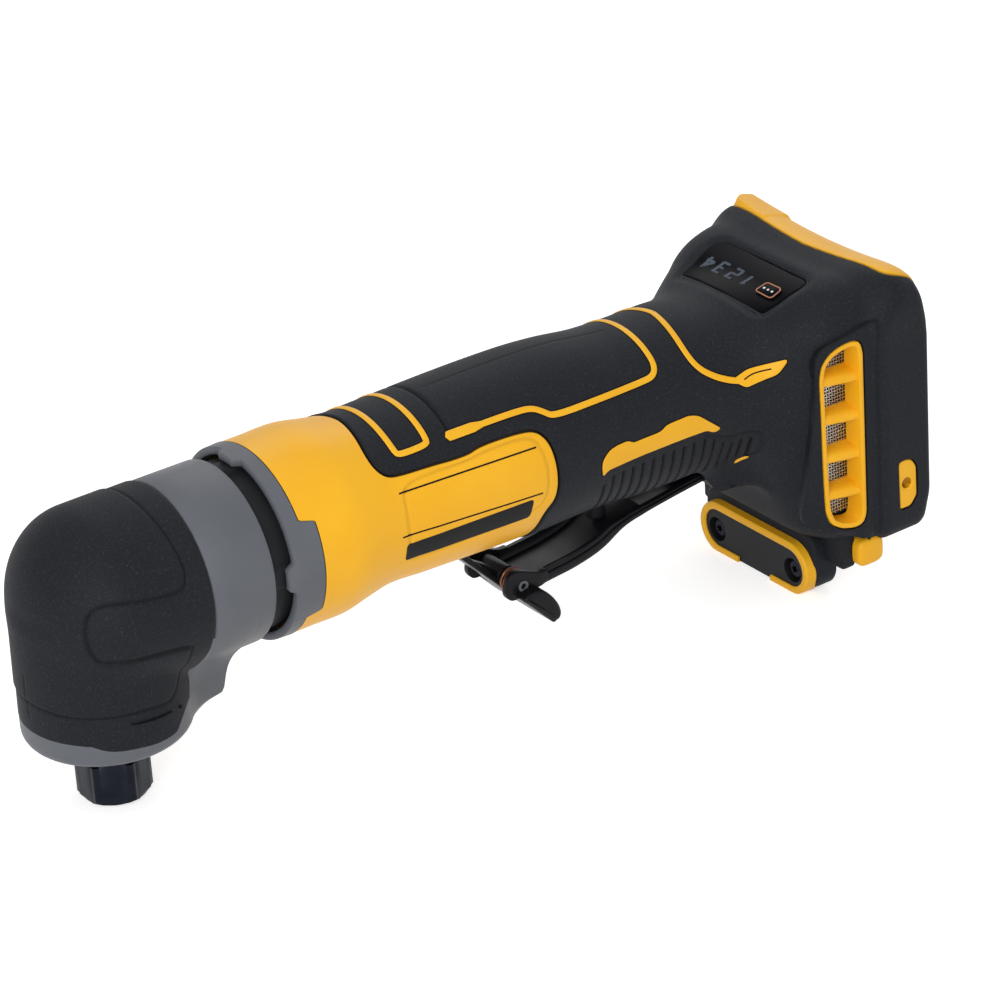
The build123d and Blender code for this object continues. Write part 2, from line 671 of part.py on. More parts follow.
def make_windings():
    """One coil round each pole, a rounded frame longer than the stack."""
    bottom = CORE_R + AIR_GAP + POLE_SHOE
    top = STATOR_R - STATOR_YOKE - COIL_GAP
    outer = block(
        CORE_FRONT_X - COIL_OVERHANG, CORE_REAR_X + COIL_OVERHANG, -POLE_WIDTH / 2 - COIL_WIDTH,
        POLE_WIDTH / 2 + COIL_WIDTH, bottom, top)
    outer = fillet(outer.edges().filter_by(Axis.Z), COIL_OVERHANG * 0.9)
    coil = outer - block(CORE_FRONT_X, CORE_REAR_X, -POLE_WIDTH / 2, POLE_WIDTH / 2, bottom, top)
    half_angle = radians(180 / POLES)
    slope = tan(half_angle)
    low_half = slope * bottom - CLEARANCE
    high_half = slope * top - CLEARANCE
    limit = ((-low_half, bottom), (low_half, bottom), (high_half, top), (-high_half, top))
    corners = [(0, y, AXIS_Z + z) for y, z in limit]
    sector = extrude(make_face(Polyline(*corners, close=True)), BEYOND, dir=(1, 0, 0))
    coil = coil & sector
    return [coil.rotate(MOTOR_AXIS, k * 360 / POLES) for k in range(POLES)]


def make_sensor_board():
    return turned_x(
        (SENSOR_BOARD_X, SENSOR_BOARD_BORE_R), (SENSOR_BOARD_X + SENSOR_BOARD, SENSOR_BOARD_BORE_R),
        (SENSOR_BOARD_X + SENSOR_BOARD, SENSOR_BOARD_R), (SENSOR_BOARD_X, SENSOR_BOARD_R))


def lead_path(y):
    """Route of a motor lead: back along the handle, then down to the controller."""
    return FilletPolyline(
        (SENSOR_BOARD_X + SENSOR_BOARD, y, AXIS_Z + LEAD_Z), (WAIST_X - 10, y, AXIS_Z + LEAD_Z),
        (CONTROLLER_FRONT_X - 14, y, AXIS_Z - 4),
        (CONTROLLER_FRONT_X + CONTROLLER_FIN_HEIGHT, y, AXIS_Z - 4), radius=8)


def make_motor_leads():
    leads = []
    for k in (-1, 0, 1):
        path = lead_path(k * LEAD_PITCH)
        leads.append(sweep(Plane(path @ 0, z_dir=path % 0) * Circle(LEAD_R), path))
    return leads


# Housing envelopes

def oval(x, top, bottom, half_width):
    """Section of the handle at x: two half ellipses that share their width."""
    outline = EllipticalCenterArc((0, 0), half_width, top, start_angle=0, arc_size=180)
    outline += EllipticalCenterArc((0, 0), half_width, bottom, start_angle=180, arc_size=180)
    return Plane((x, 0, AXIS_Z), x_dir=(0, 1, 0), z_dir=(1, 0, 0)) * make_face(outline)


def handle_form(inset):
    """Handle drawn in by an inset: a loft through ovals from the bell's neck into the foot."""
    stations = (
        (NECK_X, NECK_R, NECK_R, NECK_R), (GRIP_X, GRIP_TOP, GRIP_BOTTOM, GRIP_HALF),
        (SWELL_X, SWELL_TOP, SWELL_BOTTOM, SWELL_HALF),
        (DIP_X, DIP_TOP, DIP_BOTTOM, DIP_HALF), (WAIST_X, WAIST_TOP, WAIST_BOTTOM, WAIST_HALF),
        (HANDLE_END_X, HANDLE_END_TOP, HANDLE_END_BOTTOM, HANDLE_END_HALF),
    )
    return loft([oval(x, top - inset, bottom - inset, width - inset) for x, top, bottom, width in stations])


def bell_form():
    """Turned bell round the motor: a cylinder that curves in to the handle's neck."""
    curve = Spline((BELL_REAR_X, BELL_R), (NECK_X, NECK_R), tangents=((1, 0), (1, 0)))
    outline = curve + Polyline(
        (NECK_X, NECK_R), (NECK_X, 0), (BELL_FRONT_X, 0), (BELL_FRONT_X, BELL_R), (BELL_REAR_X, BELL_R))
    section = Plane((0, 0, AXIS_Z), x_dir=(1, 0, 0), z_dir=(0, -1, 0)) * make_face(outline)
    return revolve(section, MOTOR_AXIS)


def front_view(half_width, bottom, top, top_round, bottom_round, x0, x1):
    """Rounded front outline extruded along X."""
    face = Rectangle(2 * half_width, top - bottom)
    face = fillet(face.vertices().group_by(Axis.Y)[-1], top_round)
    face = fillet(face.vertices().group_by(Axis.Y)[0], bottom_round)
    place = Plane((x0, 0, AXIS_Z + (top + bottom) / 2), x_dir=(0, 1, 0), z_dir=(1, 0, 0))
    return extrude(place * face, x1 - x0)


def top_view(half_width, x0, x1, corner):
    """Outline from above with rounded front corners, extruded through the whole height."""
    face = Rectangle(x1 - x0, 2 * half_width)
    face = fillet(face.vertices().group_by(Axis.X)[0], corner)
    return extrude(Pos((x0 + x1) / 2, 0, -BEYOND) * face, 3 * BEYOND)


def foot_form(inset):
    """Foot drawn in by an inset: front, top and side outlines cut from one another."""
    side = (
        (FOOT_FRONT_X + inset, -HANDLE_END_BOTTOM), (FOOT_CHIN_X + inset, FOOT_BOTTOM_Z + inset),
        (CHANNEL_FRONT_X, FOOT_BOTTOM_Z + inset), (CHANNEL_FRONT_X, FLANGE_TOP_Z - inset),
        (DISPLAY_REAR_X + inset / 2, DISPLAY_REAR_Z - inset),
        (DISPLAY_FRONT_X + inset / 2, DISPLAY_FRONT_Z - inset),
        (FOOT_FRONT_X + inset, DISPLAY_FRONT_Z - 4 - inset),
    )
    front = front_view(
        FOOT_HALF - inset, FOOT_BOTTOM_Z + inset, FLANGE_TOP_Z - inset, FOOT_ROUND - inset / 2, 4,
        FOOT_FRONT_X, CHANNEL_FRONT_X)
    plan = top_view(FOOT_HALF - inset, FOOT_FRONT_X + inset, FLANGE_X + BEYOND, FOOT_CORNER - inset / 2)
    return front & plan & side_plate(side, -BEYOND, BEYOND)


def flange_form(inset):
    """Flange round the battery channel, its upper rear edge rounded."""
    top_z = FLANGE_TOP_Z - inset
    upright = front_view(
        FLANGE_HALF - inset, FLANGE_BOTTOM_Z + inset, top_z, FLANGE_ROUND - inset / 2, FLANGE_TOE,
        FLANGE_X + inset, FLANGE_REAR_X)
    centre_x = FLANGE_REAR_X - FLANGE_REAR_ROUND
    centre_z = top_z - FLANGE_REAR_ROUND
    corner = block(centre_x, BEYOND * 2, -BEYOND, BEYOND, centre_z, BEYOND)
    return upright - (corner - rod_y(centre_x, centre_z, -BEYOND, BEYOND, FLANGE_REAR_ROUND))


def bay_form(inset):
    """Chin block of the chip bay under the foot."""
    front = front_view(
        BAY_HALF - inset, BAY_BOTTOM_Z + inset, FOOT_BOTTOM_Z + 4, 1, PILL_R - inset / 2,
        BAY_X, BAY_REAR_X - inset)
    return front & top_view(BAY_HALF - inset, BAY_X, BAY_REAR_X + BEYOND, BAY_CORNER)


def pill(border, x0, x1):
    """Long rounded prism round the chip bay's face, drawn in by a border."""
    radius = PILL_R - border
    face = SlotOverall(2 * (PILL_HALF - border), 2 * radius)
    return extrude(Plane((x0, 0, AXIS_Z + BAY_Z), x_dir=(0, 1, 0), z_dir=(1, 0, 0)) * face, x1 - x0)


def rail_toes():
    """Rounded ends of the battery rails that stand out below the foot at both sides."""
    toe = block(
        TOE_FRONT_X, CHANNEL_FRONT_X, FOOT_HALF - TOE_WIDTH, FOOT_HALF, TOE_BOTTOM_Z,
        FOOT_BOTTOM_Z + OVERMOLD + 1)
    toe = fillet(toe.edges().filter_by(Axis.Y).group_by(Axis.Z)[0].group_by(Axis.X)[0], TOE_ROUND)
    return both_sides(toe)


def tether_window(side, depth):
    """Slot-shaped window through the overmould of one side of the flange."""
    face = SlotOverall(WINDOW_LENGTH, WINDOW_WIDTH)
    y = side * (FLANGE_HALF - depth)
    place = Plane((WINDOW_X, y, AXIS_Z + WINDOW_Z), x_dir=(0, 0, 1), z_dir=(0, side, 0))
    return extrude(place * face, depth + 1)


def rubber_zone():
    """Space of the overmould in side view: the pad over the top, the grip behind the side panel, the foot."""
    outline = (
        (PANEL_FRONT_X + 2, BEYOND), (PANEL_FRONT_X + 2, PANEL_TOP_Z),
        (PANEL_REAR_X - PANEL_CORNER, PANEL_TOP_Z),
        (PANEL_REAR_X, PANEL_TOP_Z - PANEL_CORNER), (PANEL_REAR_X, -PANEL_CORNER),
        (PANEL_REAR_X - PANEL_CORNER / 2, -2 * PANEL_CORNER),
        (PANEL_REAR_X - PANEL_CORNER / 2, -BEYOND), (BEYOND * 2, -BEYOND), (BEYOND * 2, BEYOND),
    )
    strip = block(STRIP_X, BEYOND * 2, -BEYOND, BEYOND, FLANGE_TOP_Z - STRIP_DEPTH, BEYOND)
    zone = side_plate(outline, -BEYOND, BEYOND) - strip - pill(0, 0, BEYOND * 2)
    for side in (-1, 1):
        zone -= tether_window(side, OVERMOLD + 1)
    return zone


def vent_opening(side, depth, border):
    """Upright vent opening in one side of the foot, drawn in by a border."""
    length = VENT_TOP_Z - VENT_BOTTOM_Z - 2 * border
    width = VENT_REAR_X - VENT_FRONT_X - 2 * border
    face = RectangleRounded(length, width, VENT_ROUND - border)
    place = Plane(
        (
            (VENT_FRONT_X + VENT_REAR_X) / 2, side * (FOOT_HALF - depth),
            AXIS_Z + (VENT_TOP_Z + VENT_BOTTOM_Z) / 2),
        x_dir=(0, 0, 1), z_dir=(0, side, 0))
    return extrude(place * face, depth + 1)


def display_plane():
    """Plane on the sloped display seat: its origin in the middle, x to the right side, y up the slope."""
    rise = DISPLAY_REAR_Z - DISPLAY_FRONT_Z
    run = DISPLAY_REAR_X - DISPLAY_FRONT_X
    middle = ((DISPLAY_FRONT_X + DISPLAY_REAR_X) / 2, 0, AXIS_Z + (DISPLAY_FRONT_Z + DISPLAY_REAR_Z) / 2)
    return Plane(middle, x_dir=(0, -1, 0), z_dir=(-rise, 0, run))


def display_length():
    return ((DISPLAY_REAR_Z - DISPLAY_FRONT_Z) ** 2 + (DISPLAY_REAR_X - DISPLAY_FRONT_X) ** 2) ** 0.5


def display_plate(margin, low, high):
    """Plate on the display plane between two depths, wider at its rear edge, with rounded corners."""
    half_length = display_length() / 2 - margin
    front = LENS_FRONT_HALF - margin
    rear = LENS_REAR_HALF - margin
    corners = ((-front, -half_length), (front, -half_length), (rear, half_length), (-rear, half_length))
    face = make_face(Polyline(*corners, close=True))
    face = fillet(face.vertices(), LENS_ROUND)
    return extrude(display_plane().offset(low) * face, high - low)


def button_plate(gap, low, high):
    face = Pos(-BUTTON_Y, 0) * RectangleRounded(
        BUTTON_SIZE + 2 * gap, BUTTON_SIZE + 2 * gap, BUTTON_ROUND + gap)
    return extrude(display_plane().offset(low) * face, high - low)


def hollow():
    """Inside of the two housing halves: motor bay, handle and foot."""
    motor_bay = turned_x(
        (BELL_FRONT_X - 1, 0), (BELL_FRONT_X - 1, BELL_INLET_R),
        (BELL_FRONT_X + BELL_FRONT_WALL, BELL_INLET_R),
        (BELL_FRONT_X + BELL_FRONT_WALL, STATOR_R), (CORE_REAR_X, STATOR_R),
        (CORE_REAR_X + 4, SENSOR_BOARD_R), (BULKHEAD_FRONT_X, SENSOR_BOARD_R), (BULKHEAD_FRONT_X, 0))
    grip = handle_form(OVERMOLD + SHELL_WALL) & block(
        BULKHEAD_REAR_X, 2 * BEYOND, -BEYOND, BEYOND, -BEYOND, BEYOND)
    foot = foot_form(OVERMOLD + SHELL_WALL) & block(
        0, CHANNEL_FRONT_X - SHELL_WALL, -BEYOND, BEYOND, -BEYOND, BEYOND)
    lead_slot = block(
        BULKHEAD_FRONT_X - 1, BULKHEAD_REAR_X + 1, -2 * LEAD_PITCH, 2 * LEAD_PITCH, LEAD_Z - 2.5,
        LEAD_Z + 2.5)
    rear_seat = rod_x(BULKHEAD_FRONT_X - 1, REAR_BEARING_X + REAR_BEARING[2], 0, 0, REAR_BEARING[1])
    return motor_bay + grip + foot + lead_slot + rear_seat


def battery_channel():
    """Channel open at the rear and below, with a rail lip along each side."""
    floor = block(CHANNEL_FRONT_X, RAIL_X, -CHANNEL_HALF, CHANNEL_HALF, -BEYOND, CHANNEL_TOP_Z)
    lip_half = CHANNEL_HALF - RAIL_WIDTH
    mouth = block(CHANNEL_FRONT_X, BEYOND * 2, -lip_half, lip_half, -BEYOND, CHANNEL_TOP_Z)
    return floor + mouth


def lever_lugs():
    """Pair of lugs under the handle's rear that hold the lever's pivot pin."""
    inner = LEVER_HALF + CLEARANCE
    outline = (
        (LEVER_PIVOT_X - 7, -DIP_BOTTOM + 6), (LEVER_PIVOT_X - 5, LEVER_PIVOT_Z - LUG_DROP + 2),
        (LEVER_PIVOT_X - 2, LEVER_PIVOT_Z - LUG_DROP),
        (LEVER_PIVOT_X + 3, LEVER_PIVOT_Z - LUG_DROP), (FOOT_CHIN_X - 2, LEVER_PIVOT_Z - LUG_DROP),
        (FOOT_CHIN_X - 2, -DIP_BOTTOM + 6))
    return both_sides(side_plate(outline, inner, inner + LUG_WALL))


def lever_room():
    """Space swept by the lever's rear: round its barrel, and a shallow groove under the handle."""
    inner = LEVER_HALF + CLEARANCE
    reach = LEVER_BARREL_R + 1.2
    return rod_y(LEVER_PIVOT_X, LEVER_PIVOT_Z, -inner, inner, reach) + block(
        LEVER_GROOVE_X, LEVER_PIVOT_X, -inner, inner, LEVER_PIVOT_Z - 12, LEVER_GROOVE_Z)


def switch_cradle():
    """Two ribs in the handle that the switch lies between and on."""
    front = SWITCH_X - SWITCH_LENGTH / 2
    rear = SWITCH_X + SWITCH_LENGTH / 2
    ribs = block(
        front - SWITCH_CRADLE, front + SWITCH_CRADLE, -SWITCH_HALF - 6, SWITCH_HALF + 6, -DIP_BOTTOM,
        SWITCH_BOTTOM_Z + 6)
    ribs += block(
        rear - SWITCH_CRADLE, rear + SWITCH_CRADLE, -SWITCH_HALF - 6, SWITCH_HALF + 6, -DIP_BOTTOM,
        SWITCH_BOTTOM_Z + 6)
    return (ribs & handle_form(OVERMOLD + SHELL_WALL - 0.5)) - switch_body()


def switch_body():
    return block(
        SWITCH_X - SWITCH_LENGTH / 2, SWITCH_X + SWITCH_LENGTH / 2, -SWITCH_HALF, SWITCH_HALF,
        SWITCH_BOTTOM_Z, SWITCH_TOP_Z)


def housing_bosses():
    return [rod_y(x, z, -BEYOND, BEYOND, HOUSING_BOSS_R) for x, z in HOUSING_SCREW_SPOTS]


def housing_screw(x, z, gap):
    """Clamshell screw from the right side, opened by a gap."""
    shank = rod_y(
        x, z, HOUSING_SCREW_SEAT_Y - HOUSING_SCREW_LENGTH, HOUSING_SCREW_SEAT_Y, HOUSING_SCREW_R + gap)
    head = rod_y(
        x, z, HOUSING_SCREW_SEAT_Y, HOUSING_SCREW_SEAT_Y + HOUSING_SCREW_HEAD, HOUSING_SCREW_HEAD_R + gap)
    return shank + head


def make_housings():
    """Left and right yellow shells and their rubber overmoulds."""
    bell = bell_form()
    skinned = handle_form(0) + foot_form(0) + flange_form(0) + bay_form(0)
    core = handle_form(OVERMOLD) + foot_form(OVERMOLD) + flange_form(OVERMOLD) + bay_form(OVERMOLD)
    toes = rail_toes()
    rubber = (skinned & rubber_zone()) - core - lever_lugs() - toes
    inside = hollow()
    shell = bell + skinned - rubber - inside + lever_lugs() + switch_cradle() + toes
    fittings = [piece & inside for piece in (*housing_bosses(), controller_shelf())]
    shell = shell + fittings
    cuts = [battery_channel(), lever_room(), tether_holes(), plunger_hole(), ring_seat(), *case_screws()]
    cuts += [pill(PILL_BORDER, BAY_X - 1, BAY_X + COVER_DEPTH), terminal_seat()]
    cuts += [display_plate(0, -LENS_THICK, BEYOND), display_plate(3, -LENS_THICK - SPEED_BOARD, 0)]
    cuts += [vent_opening(side, VENT_DEPTH + SCREEN_THICK, 0) for side in (-1, 1)]
    cuts += [vent_opening(side, VENT_DEPTH + 6, VENT_FRAME) for side in (-1, 1)]
    cuts.append(make_lever_pivot_pin())
    cuts += [bay_screw(side, 0) for side in (-1, 1)]
    for x, z in HOUSING_SCREW_SPOTS:
        cuts.append(housing_screw(x, z, 0))
        cuts.append(rod_y(x, z, HOUSING_SCREW_SEAT_Y, BEYOND, HOUSING_SCREW_HEAD_R))
    for cut in cuts:
        shell -= cut
        rubber -= cut
    return {
        "left_housing": half(shell, -1), "right_housing": half(shell, 1),
        "left_overmold": half(rubber, -1), "right_overmold": half(rubber, 1),
    }


def tether_holes():
    """Small round hole in the tether window of each flange wall."""
    return rod_y(WINDOW_X, WINDOW_Z, -BEYOND, BEYOND, TETHER_HOLE_R)


def plunger_hole():
    return Pos(SWITCH_X, 0, 0) * Cylinder(PLUNGER_R + CLEARANCE, AXIS_Z + SWITCH_BOTTOM_Z, align=CENTRE_MIN)


def ring_seat():
    """Spigot cut: the bell is turned down where the deflector ring sits, also under its side tabs."""
    spigot_r = BELL_R - RING_WALL
    sleeve = turned_x(
        (RING_FRONT_X, spigot_r), (RING_TAB_X, spigot_r), (RING_TAB_X, BELL_R + 1),
        (RING_FRONT_X, BELL_R + 1))
    return sleeve & ring_zone()


def ring_zone():
    """Space of the deflector ring: a collar with a longer tab at each side."""
    collar = block(RING_FRONT_X, BELL_FRONT_X, -BEYOND, BEYOND, -BEYOND, BEYOND)
    return collar + block(RING_FRONT_X, RING_TAB_X, -BEYOND, BEYOND, -RING_TAB_Z, RING_TAB_Z)


def make_ring():
    """Air deflector ring with four short noses along its front edge."""
    spigot_r = BELL_R - RING_WALL
    sleeve = turned_x(
        (RING_NOSE_X, spigot_r), (RING_TAB_X, spigot_r), (RING_TAB_X, BELL_R), (RING_NOSE_X, BELL_R))
    nose = block(
        RING_NOSE_X - 1, RING_FRONT_X + 1, -RING_NOSE_WIDTH / 2, RING_NOSE_WIDTH / 2, spigot_r / 2, BEYOND)
    noses = [nose.rotate(MOTOR_AXIS, k * 360 / RING_NOSES) for k in range(RING_NOSES)]
    return sleeve & (ring_zone() + noses)


def make_baffle():
    """Ring between the gear case and the bell, with exhaust slots round the fan."""
    rear_x = BELL_FRONT_X
    inner_r = BAFFLE_R - BAFFLE_WALL
    sleeve = turned_x(
        (COLLAR_REAR_X, inner_r), (rear_x, inner_r), (rear_x, BAFFLE_R), (COLLAR_REAR_X, BAFFLE_R))
    slot = block(
        COLLAR_REAR_X + 1, RING_FRONT_X, -BAFFLE_SLOT_WIDTH / 2, BAFFLE_SLOT_WIDTH / 2, inner_r / 2,
        BAFFLE_R + 1)
    sleeve -= [slot.rotate(MOTOR_AXIS, (k + 0.5) * 360 / BAFFLE_SLOTS) for k in range(BAFFLE_SLOTS)]
    return sleeve - case_screws()


# Foot fittings

def bay_screw(side, gap):
    """Screw of the chip bay cover: head sunk in the cover, shank in the chin block."""
    y = side * BAY_SCREW_Y
    seat = BAY_X + COVER_DEPTH / 2
    head = rod_x(BAY_X + 0.4, seat, y, BAY_Z, BAY_SCREW_HEAD_R + gap)
    return head + rod_x(seat, seat + BAY_SCREW_LENGTH, y, BAY_Z, BAY_SCREW_R + gap)


def make_bay_cover():
    cover = pill(PILL_BORDER, BAY_X, BAY_X + COVER_DEPTH)
    for side in (-1, 1):
        cover -= bay_screw(side, 0)
        cover -= rod_x(BAY_X - 1, BAY_X + 1, side * BAY_SCREW_Y, BAY_Z, BAY_SCREW_HEAD_R)
    return cover


def make_vent(side):
    """Grille with slanted bars across an upright frame."""
    grille = vent_opening(side, VENT_DEPTH, 0) & block(0, BEYOND * 2, -FOOT_HALF, FOOT_HALF, -BEYOND, BEYOND)
    windows = vent_opening(side, VENT_DEPTH, VENT_FRAME)
    bars = None
    pitch = (VENT_TOP_Z - VENT_BOTTOM_Z) / (VENT_BARS + 1)
    for k in range(VENT_BARS):
        z = VENT_BOTTOM_Z + pitch * (k + 1)
        bar = block(
            VENT_FRONT_X, VENT_REAR_X, side * FOOT_HALF - VENT_DEPTH, side * FOOT_HALF + VENT_DEPTH,
            z - VENT_BAR / 2, z + VENT_BAR / 2)
        bars = bar if bars is None else bars + bar
    return grille - (windows - bars)


def make_screen(side):
    depth = VENT_DEPTH + SCREEN_THICK
    return vent_opening(side, depth, 0) - vent_opening(side, VENT_DEPTH, -1)


def terminal_seat():
    return block(
        CHANNEL_FRONT_X - SHELL_WALL, CHANNEL_FRONT_X + TERMINAL_DEPTH, -TERMINAL_HALF, TERMINAL_HALF,
        TERMINAL_BOTTOM_Z, TERMINAL_TOP_Z)


def blade(k):
    """One terminal blade, standing out of the terminal block along X."""
    y = (k - (BLADES - 1) / 2) * BLADE_PITCH
    middle = (TERMINAL_TOP_Z + TERMINAL_BOTTOM_Z) / 2
    front = CHANNEL_FRONT_X - SHELL_WALL
    return block(
        front, CHANNEL_FRONT_X + TERMINAL_DEPTH + BLADE_REACH, y - BLADE_THICK / 2, y + BLADE_THICK / 2,
        middle - BLADE_HEIGHT / 2, middle + BLADE_HEIGHT / 2)


def make_controller():
    """Potted controller with cooling fins on its front."""
    body = block(
        CONTROLLER_FRONT_X + CONTROLLER_FIN_HEIGHT, CHANNEL_FRONT_X - SHELL_WALL,
        -CONTROLLER_HALF, CONTROLLER_HALF, CONTROLLER_BOTTOM_Z, CONTROLLER_TOP_Z)
    pitch = (2 * CONTROLLER_HALF - CONTROLLER_FIN) / (CONTROLLER_FINS - 1)
    for k in range(CONTROLLER_FINS):
        y = -CONTROLLER_HALF + k * pitch
        if abs(y + CONTROLLER_FIN / 2) < 2.5 * LEAD_PITCH:
            continue
        body += block(
            CONTROLLER_FRONT_X, CONTROLLER_FRONT_X + CONTROLLER_FIN_HEIGHT + 1, y, y + CONTROLLER_FIN,
            CONTROLLER_BOTTOM_Z, CONTROLLER_TOP_Z)
    return body


def controller_shelf():
    """Shelf across the foot that the controller stands on."""
    return block(
        CONTROLLER_FRONT_X, CHANNEL_FRONT_X - SHELL_WALL, -BEYOND, BEYOND, CONTROLLER_BOTTOM_Z - SHELL_WALL,
        CONTROLLER_BOTTOM_Z)


# Lever group

def lever_line(front_lift, rear_lift):
    """Side line of the lever from its ears to its barrel, lifted above its underside at both ends."""
    low = (
        (LEVER_PIN_X - 5, LEVER_PIN_Z - 3.4), (LEVER_PIN_X + 13, LEVER_PIN_Z - 2.4),
        (LEVER_BELLY_X, LEVER_BELLY_Z),
        (LEVER_BELLY_X + 16, LEVER_BELLY_Z + 5.2), (LEVER_PIVOT_X - 13, LEVER_PIVOT_Z - 1.2),
        (LEVER_PIVOT_X, LEVER_PIVOT_Z - LEVER_BARREL_R + 0.6))
    lifts = (front_lift, front_lift, front_lift, rear_lift, rear_lift, rear_lift)
    return Spline(*[(x, 0, AXIS_Z + z + lift) for (x, z), lift in zip(low, lifts)])


def height_at(line, x):
    """Height of a side line where it passes x."""
    samples = [line @ (k / 400) for k in range(401)]
    return min(samples, key=lambda point: abs(point.X - x)).Z


def make_lever():
    """Trough open upwards, with two ears for the lock pin in front and a barrel for the pivot behind."""
    bottom = lever_line(0, 0)
    top = lever_line(LEVER_DEPTH, LEVER_REAR_DEPTH)
    ends = Line(bottom @ 1, top @ 1) + Line(top @ 0, bottom @ 0)
    slab = extrude(make_face(bottom + top + ends), LEVER_HALF, both=True)
    floor = lever_line(LEVER_WALL, LEVER_WALL)
    above = [((floor @ end).X, 0, AXIS_Z + 20) for end in (1, 0)]
    trough = make_face(floor + Polyline(floor @ 1, *above, floor @ 0))
    trough = extrude(trough, LEVER_HALF - LEVER_WALL, both=True)
    trough = trough & block(0, LEVER_PIVOT_X - LEVER_BARREL_R - 2, -BEYOND, BEYOND, -BEYOND, BEYOND)
    nose = block(
        LEVER_PIN_X - 40, LEVER_PIN_X + 6, -LEVER_HALF + LEVER_WALL, LEVER_HALF - LEVER_WALL, -BEYOND,
        BEYOND)
    lever = slab + rod_y(LEVER_PIVOT_X, LEVER_PIVOT_Z, -LEVER_HALF, LEVER_HALF, LEVER_BARREL_R)
    lever += rod_y(LEVER_PIN_X, LEVER_PIN_Z, -LEVER_HALF, LEVER_HALF, LEVER_EAR_R - 0.4)
    lever = lever - trough - nose
    lever -= rod_y(LEVER_PIVOT_X, LEVER_PIVOT_Z, -BEYOND, BEYOND, LEVER_PIVOT_R + RUNNING_FIT)
    return lever - rod_y(LEVER_PIN_X, LEVER_PIN_Z, -BEYOND, BEYOND, LOCK_PIN_R)


def make_lock_pin():
    """Hollow-ended pin through the lever's ears."""
    length = LEVER_HALF + 0.5
    pin = rod_y(LEVER_PIN_X, LEVER_PIN_Z, -length, length, LOCK_PIN_R)
    for y in (-length, length):
        pin -= rod_y(LEVER_PIN_X, LEVER_PIN_Z, y - 1.2, y + 1.2, LOCK_PIN_R * 0.55)
    return pin


def make_lock_lever():
    """Prop plate on a hub, with a thumb wing to each side below the lever."""
    hub_half = LEVER_HALF - LEVER_WALL - CLEARANCE
    spring_room = SPRING_TURNS * SPRING_PITCH + 2 * SPRING_WIRE_R + CLEARANCE
    hub = rod_y(LEVER_PIN_X, LEVER_PIN_Z, -hub_half + spring_room, hub_half, LOCK_HUB_R)
    prop = side_plate(
        (
            (LEVER_PIN_X - 2, LEVER_PIN_Z + 2.6), (LOCK_PROP_X + 2, LOCK_PROP_Z),
            (LOCK_PROP_X - 1, LOCK_PROP_Z), (LOCK_PROP_X - 0.5, LOCK_PROP_Z - 2.6),
            (LEVER_PIN_X - 3, LEVER_PIN_Z - 1.6)),
        -hub_half + spring_room, hub_half)
    skirt = side_plate(
        (
            (LEVER_PIN_X - 3.2, LEVER_PIN_Z), (LEVER_PIN_X + 0.5, LEVER_PIN_Z - 2),
            (LOCK_WING_X + 0.5, LOCK_WING_Z - 0.5), (LOCK_WING_X - 2, LOCK_WING_Z - 1.5)),
        -hub_half + spring_room, hub_half)
    bar = side_plate(
        (
            (LOCK_WING_X - 2.2, LOCK_WING_Z - 1.5), (LOCK_WING_X + 1, LOCK_WING_Z - 1.2),
            (LOCK_WING_X + 1, LOCK_WING_Z + 1.2), (LOCK_WING_X - 2.2, LOCK_WING_Z + 1.2)),
        -LOCK_WING_TIP_Y + 4, LOCK_WING_TIP_Y - 4)
    wing = side_plate(
        (
            (LOCK_WING_X - 2.2, LOCK_WING_Z - 1.5), (LOCK_WING_X + 1, LOCK_WING_Z - 1.2),
            (LOCK_WING_X + 3, LOCK_WING_Z + 3), (LOCK_WING_X - 1, LOCK_WING_Z + 6)),
        LEVER_HALF + 2, LOCK_WING_TIP_Y)
    lock = hub + prop + skirt + bar
    for piece in both_sides(wing):
        lock += piece
    return lock - rod_y(LEVER_PIN_X, LEVER_PIN_Z, -BEYOND, BEYOND, LOCK_PIN_R + RUNNING_FIT)


def spring_points():
    """Quarter-turn points of the lock spring's coil, from the left ear inwards."""
    start_y = -LEVER_HALF + LEVER_WALL + SPRING_WIRE_R
    points = []
    for k in range(4 * SPRING_TURNS + 1):
        angle = k * pi / 2
        points.append((
            LEVER_PIN_X + SPRING_COIL_R * cos(angle), start_y + SPRING_PITCH * k / 4,
            AXIS_Z + LEVER_PIN_Z + SPRING_COIL_R * sin(angle)))
    return points


def make_lock_spring():
    """Torsion spring round the lock pin, swept along arcs of a quarter turn."""
    points = spring_points()
    turn = SPRING_PITCH / (2 * pi)
    path = TangentArc(points[0], points[1], tangent=(0, turn, SPRING_COIL_R))
    tail = path
    for start, end in zip(points[1:], points[2:]):
        tail = TangentArc(start, end, tangent=tail % 1)
        path = path + tail
    gap = SPRING_PITCH - 2 * SPRING_WIRE_R
    print(f"lock spring: least gap between turns {gap:.2f} mm")
    return sweep(Plane(points[0], z_dir=path.edges()[0] % 0) * Circle(SPRING_WIRE_R), path)


def make_plunger():
    """Switch plunger from just above the lever's floor up into the switch."""
    tip_z = height_at(lever_line(LEVER_WALL, LEVER_WALL), SWITCH_X + PLUNGER_R) + CLEARANCE
    top_z = AXIS_Z + SWITCH_BOTTOM_Z + PLUNGER_SEAT
    plunger = Pos(SWITCH_X, 0, tip_z) * Cylinder(PLUNGER_R, top_z - tip_z, align=CENTRE_MIN)
    return fillet(plunger.edges().group_by(Axis.Z)[0], PLUNGER_R * 0.4)


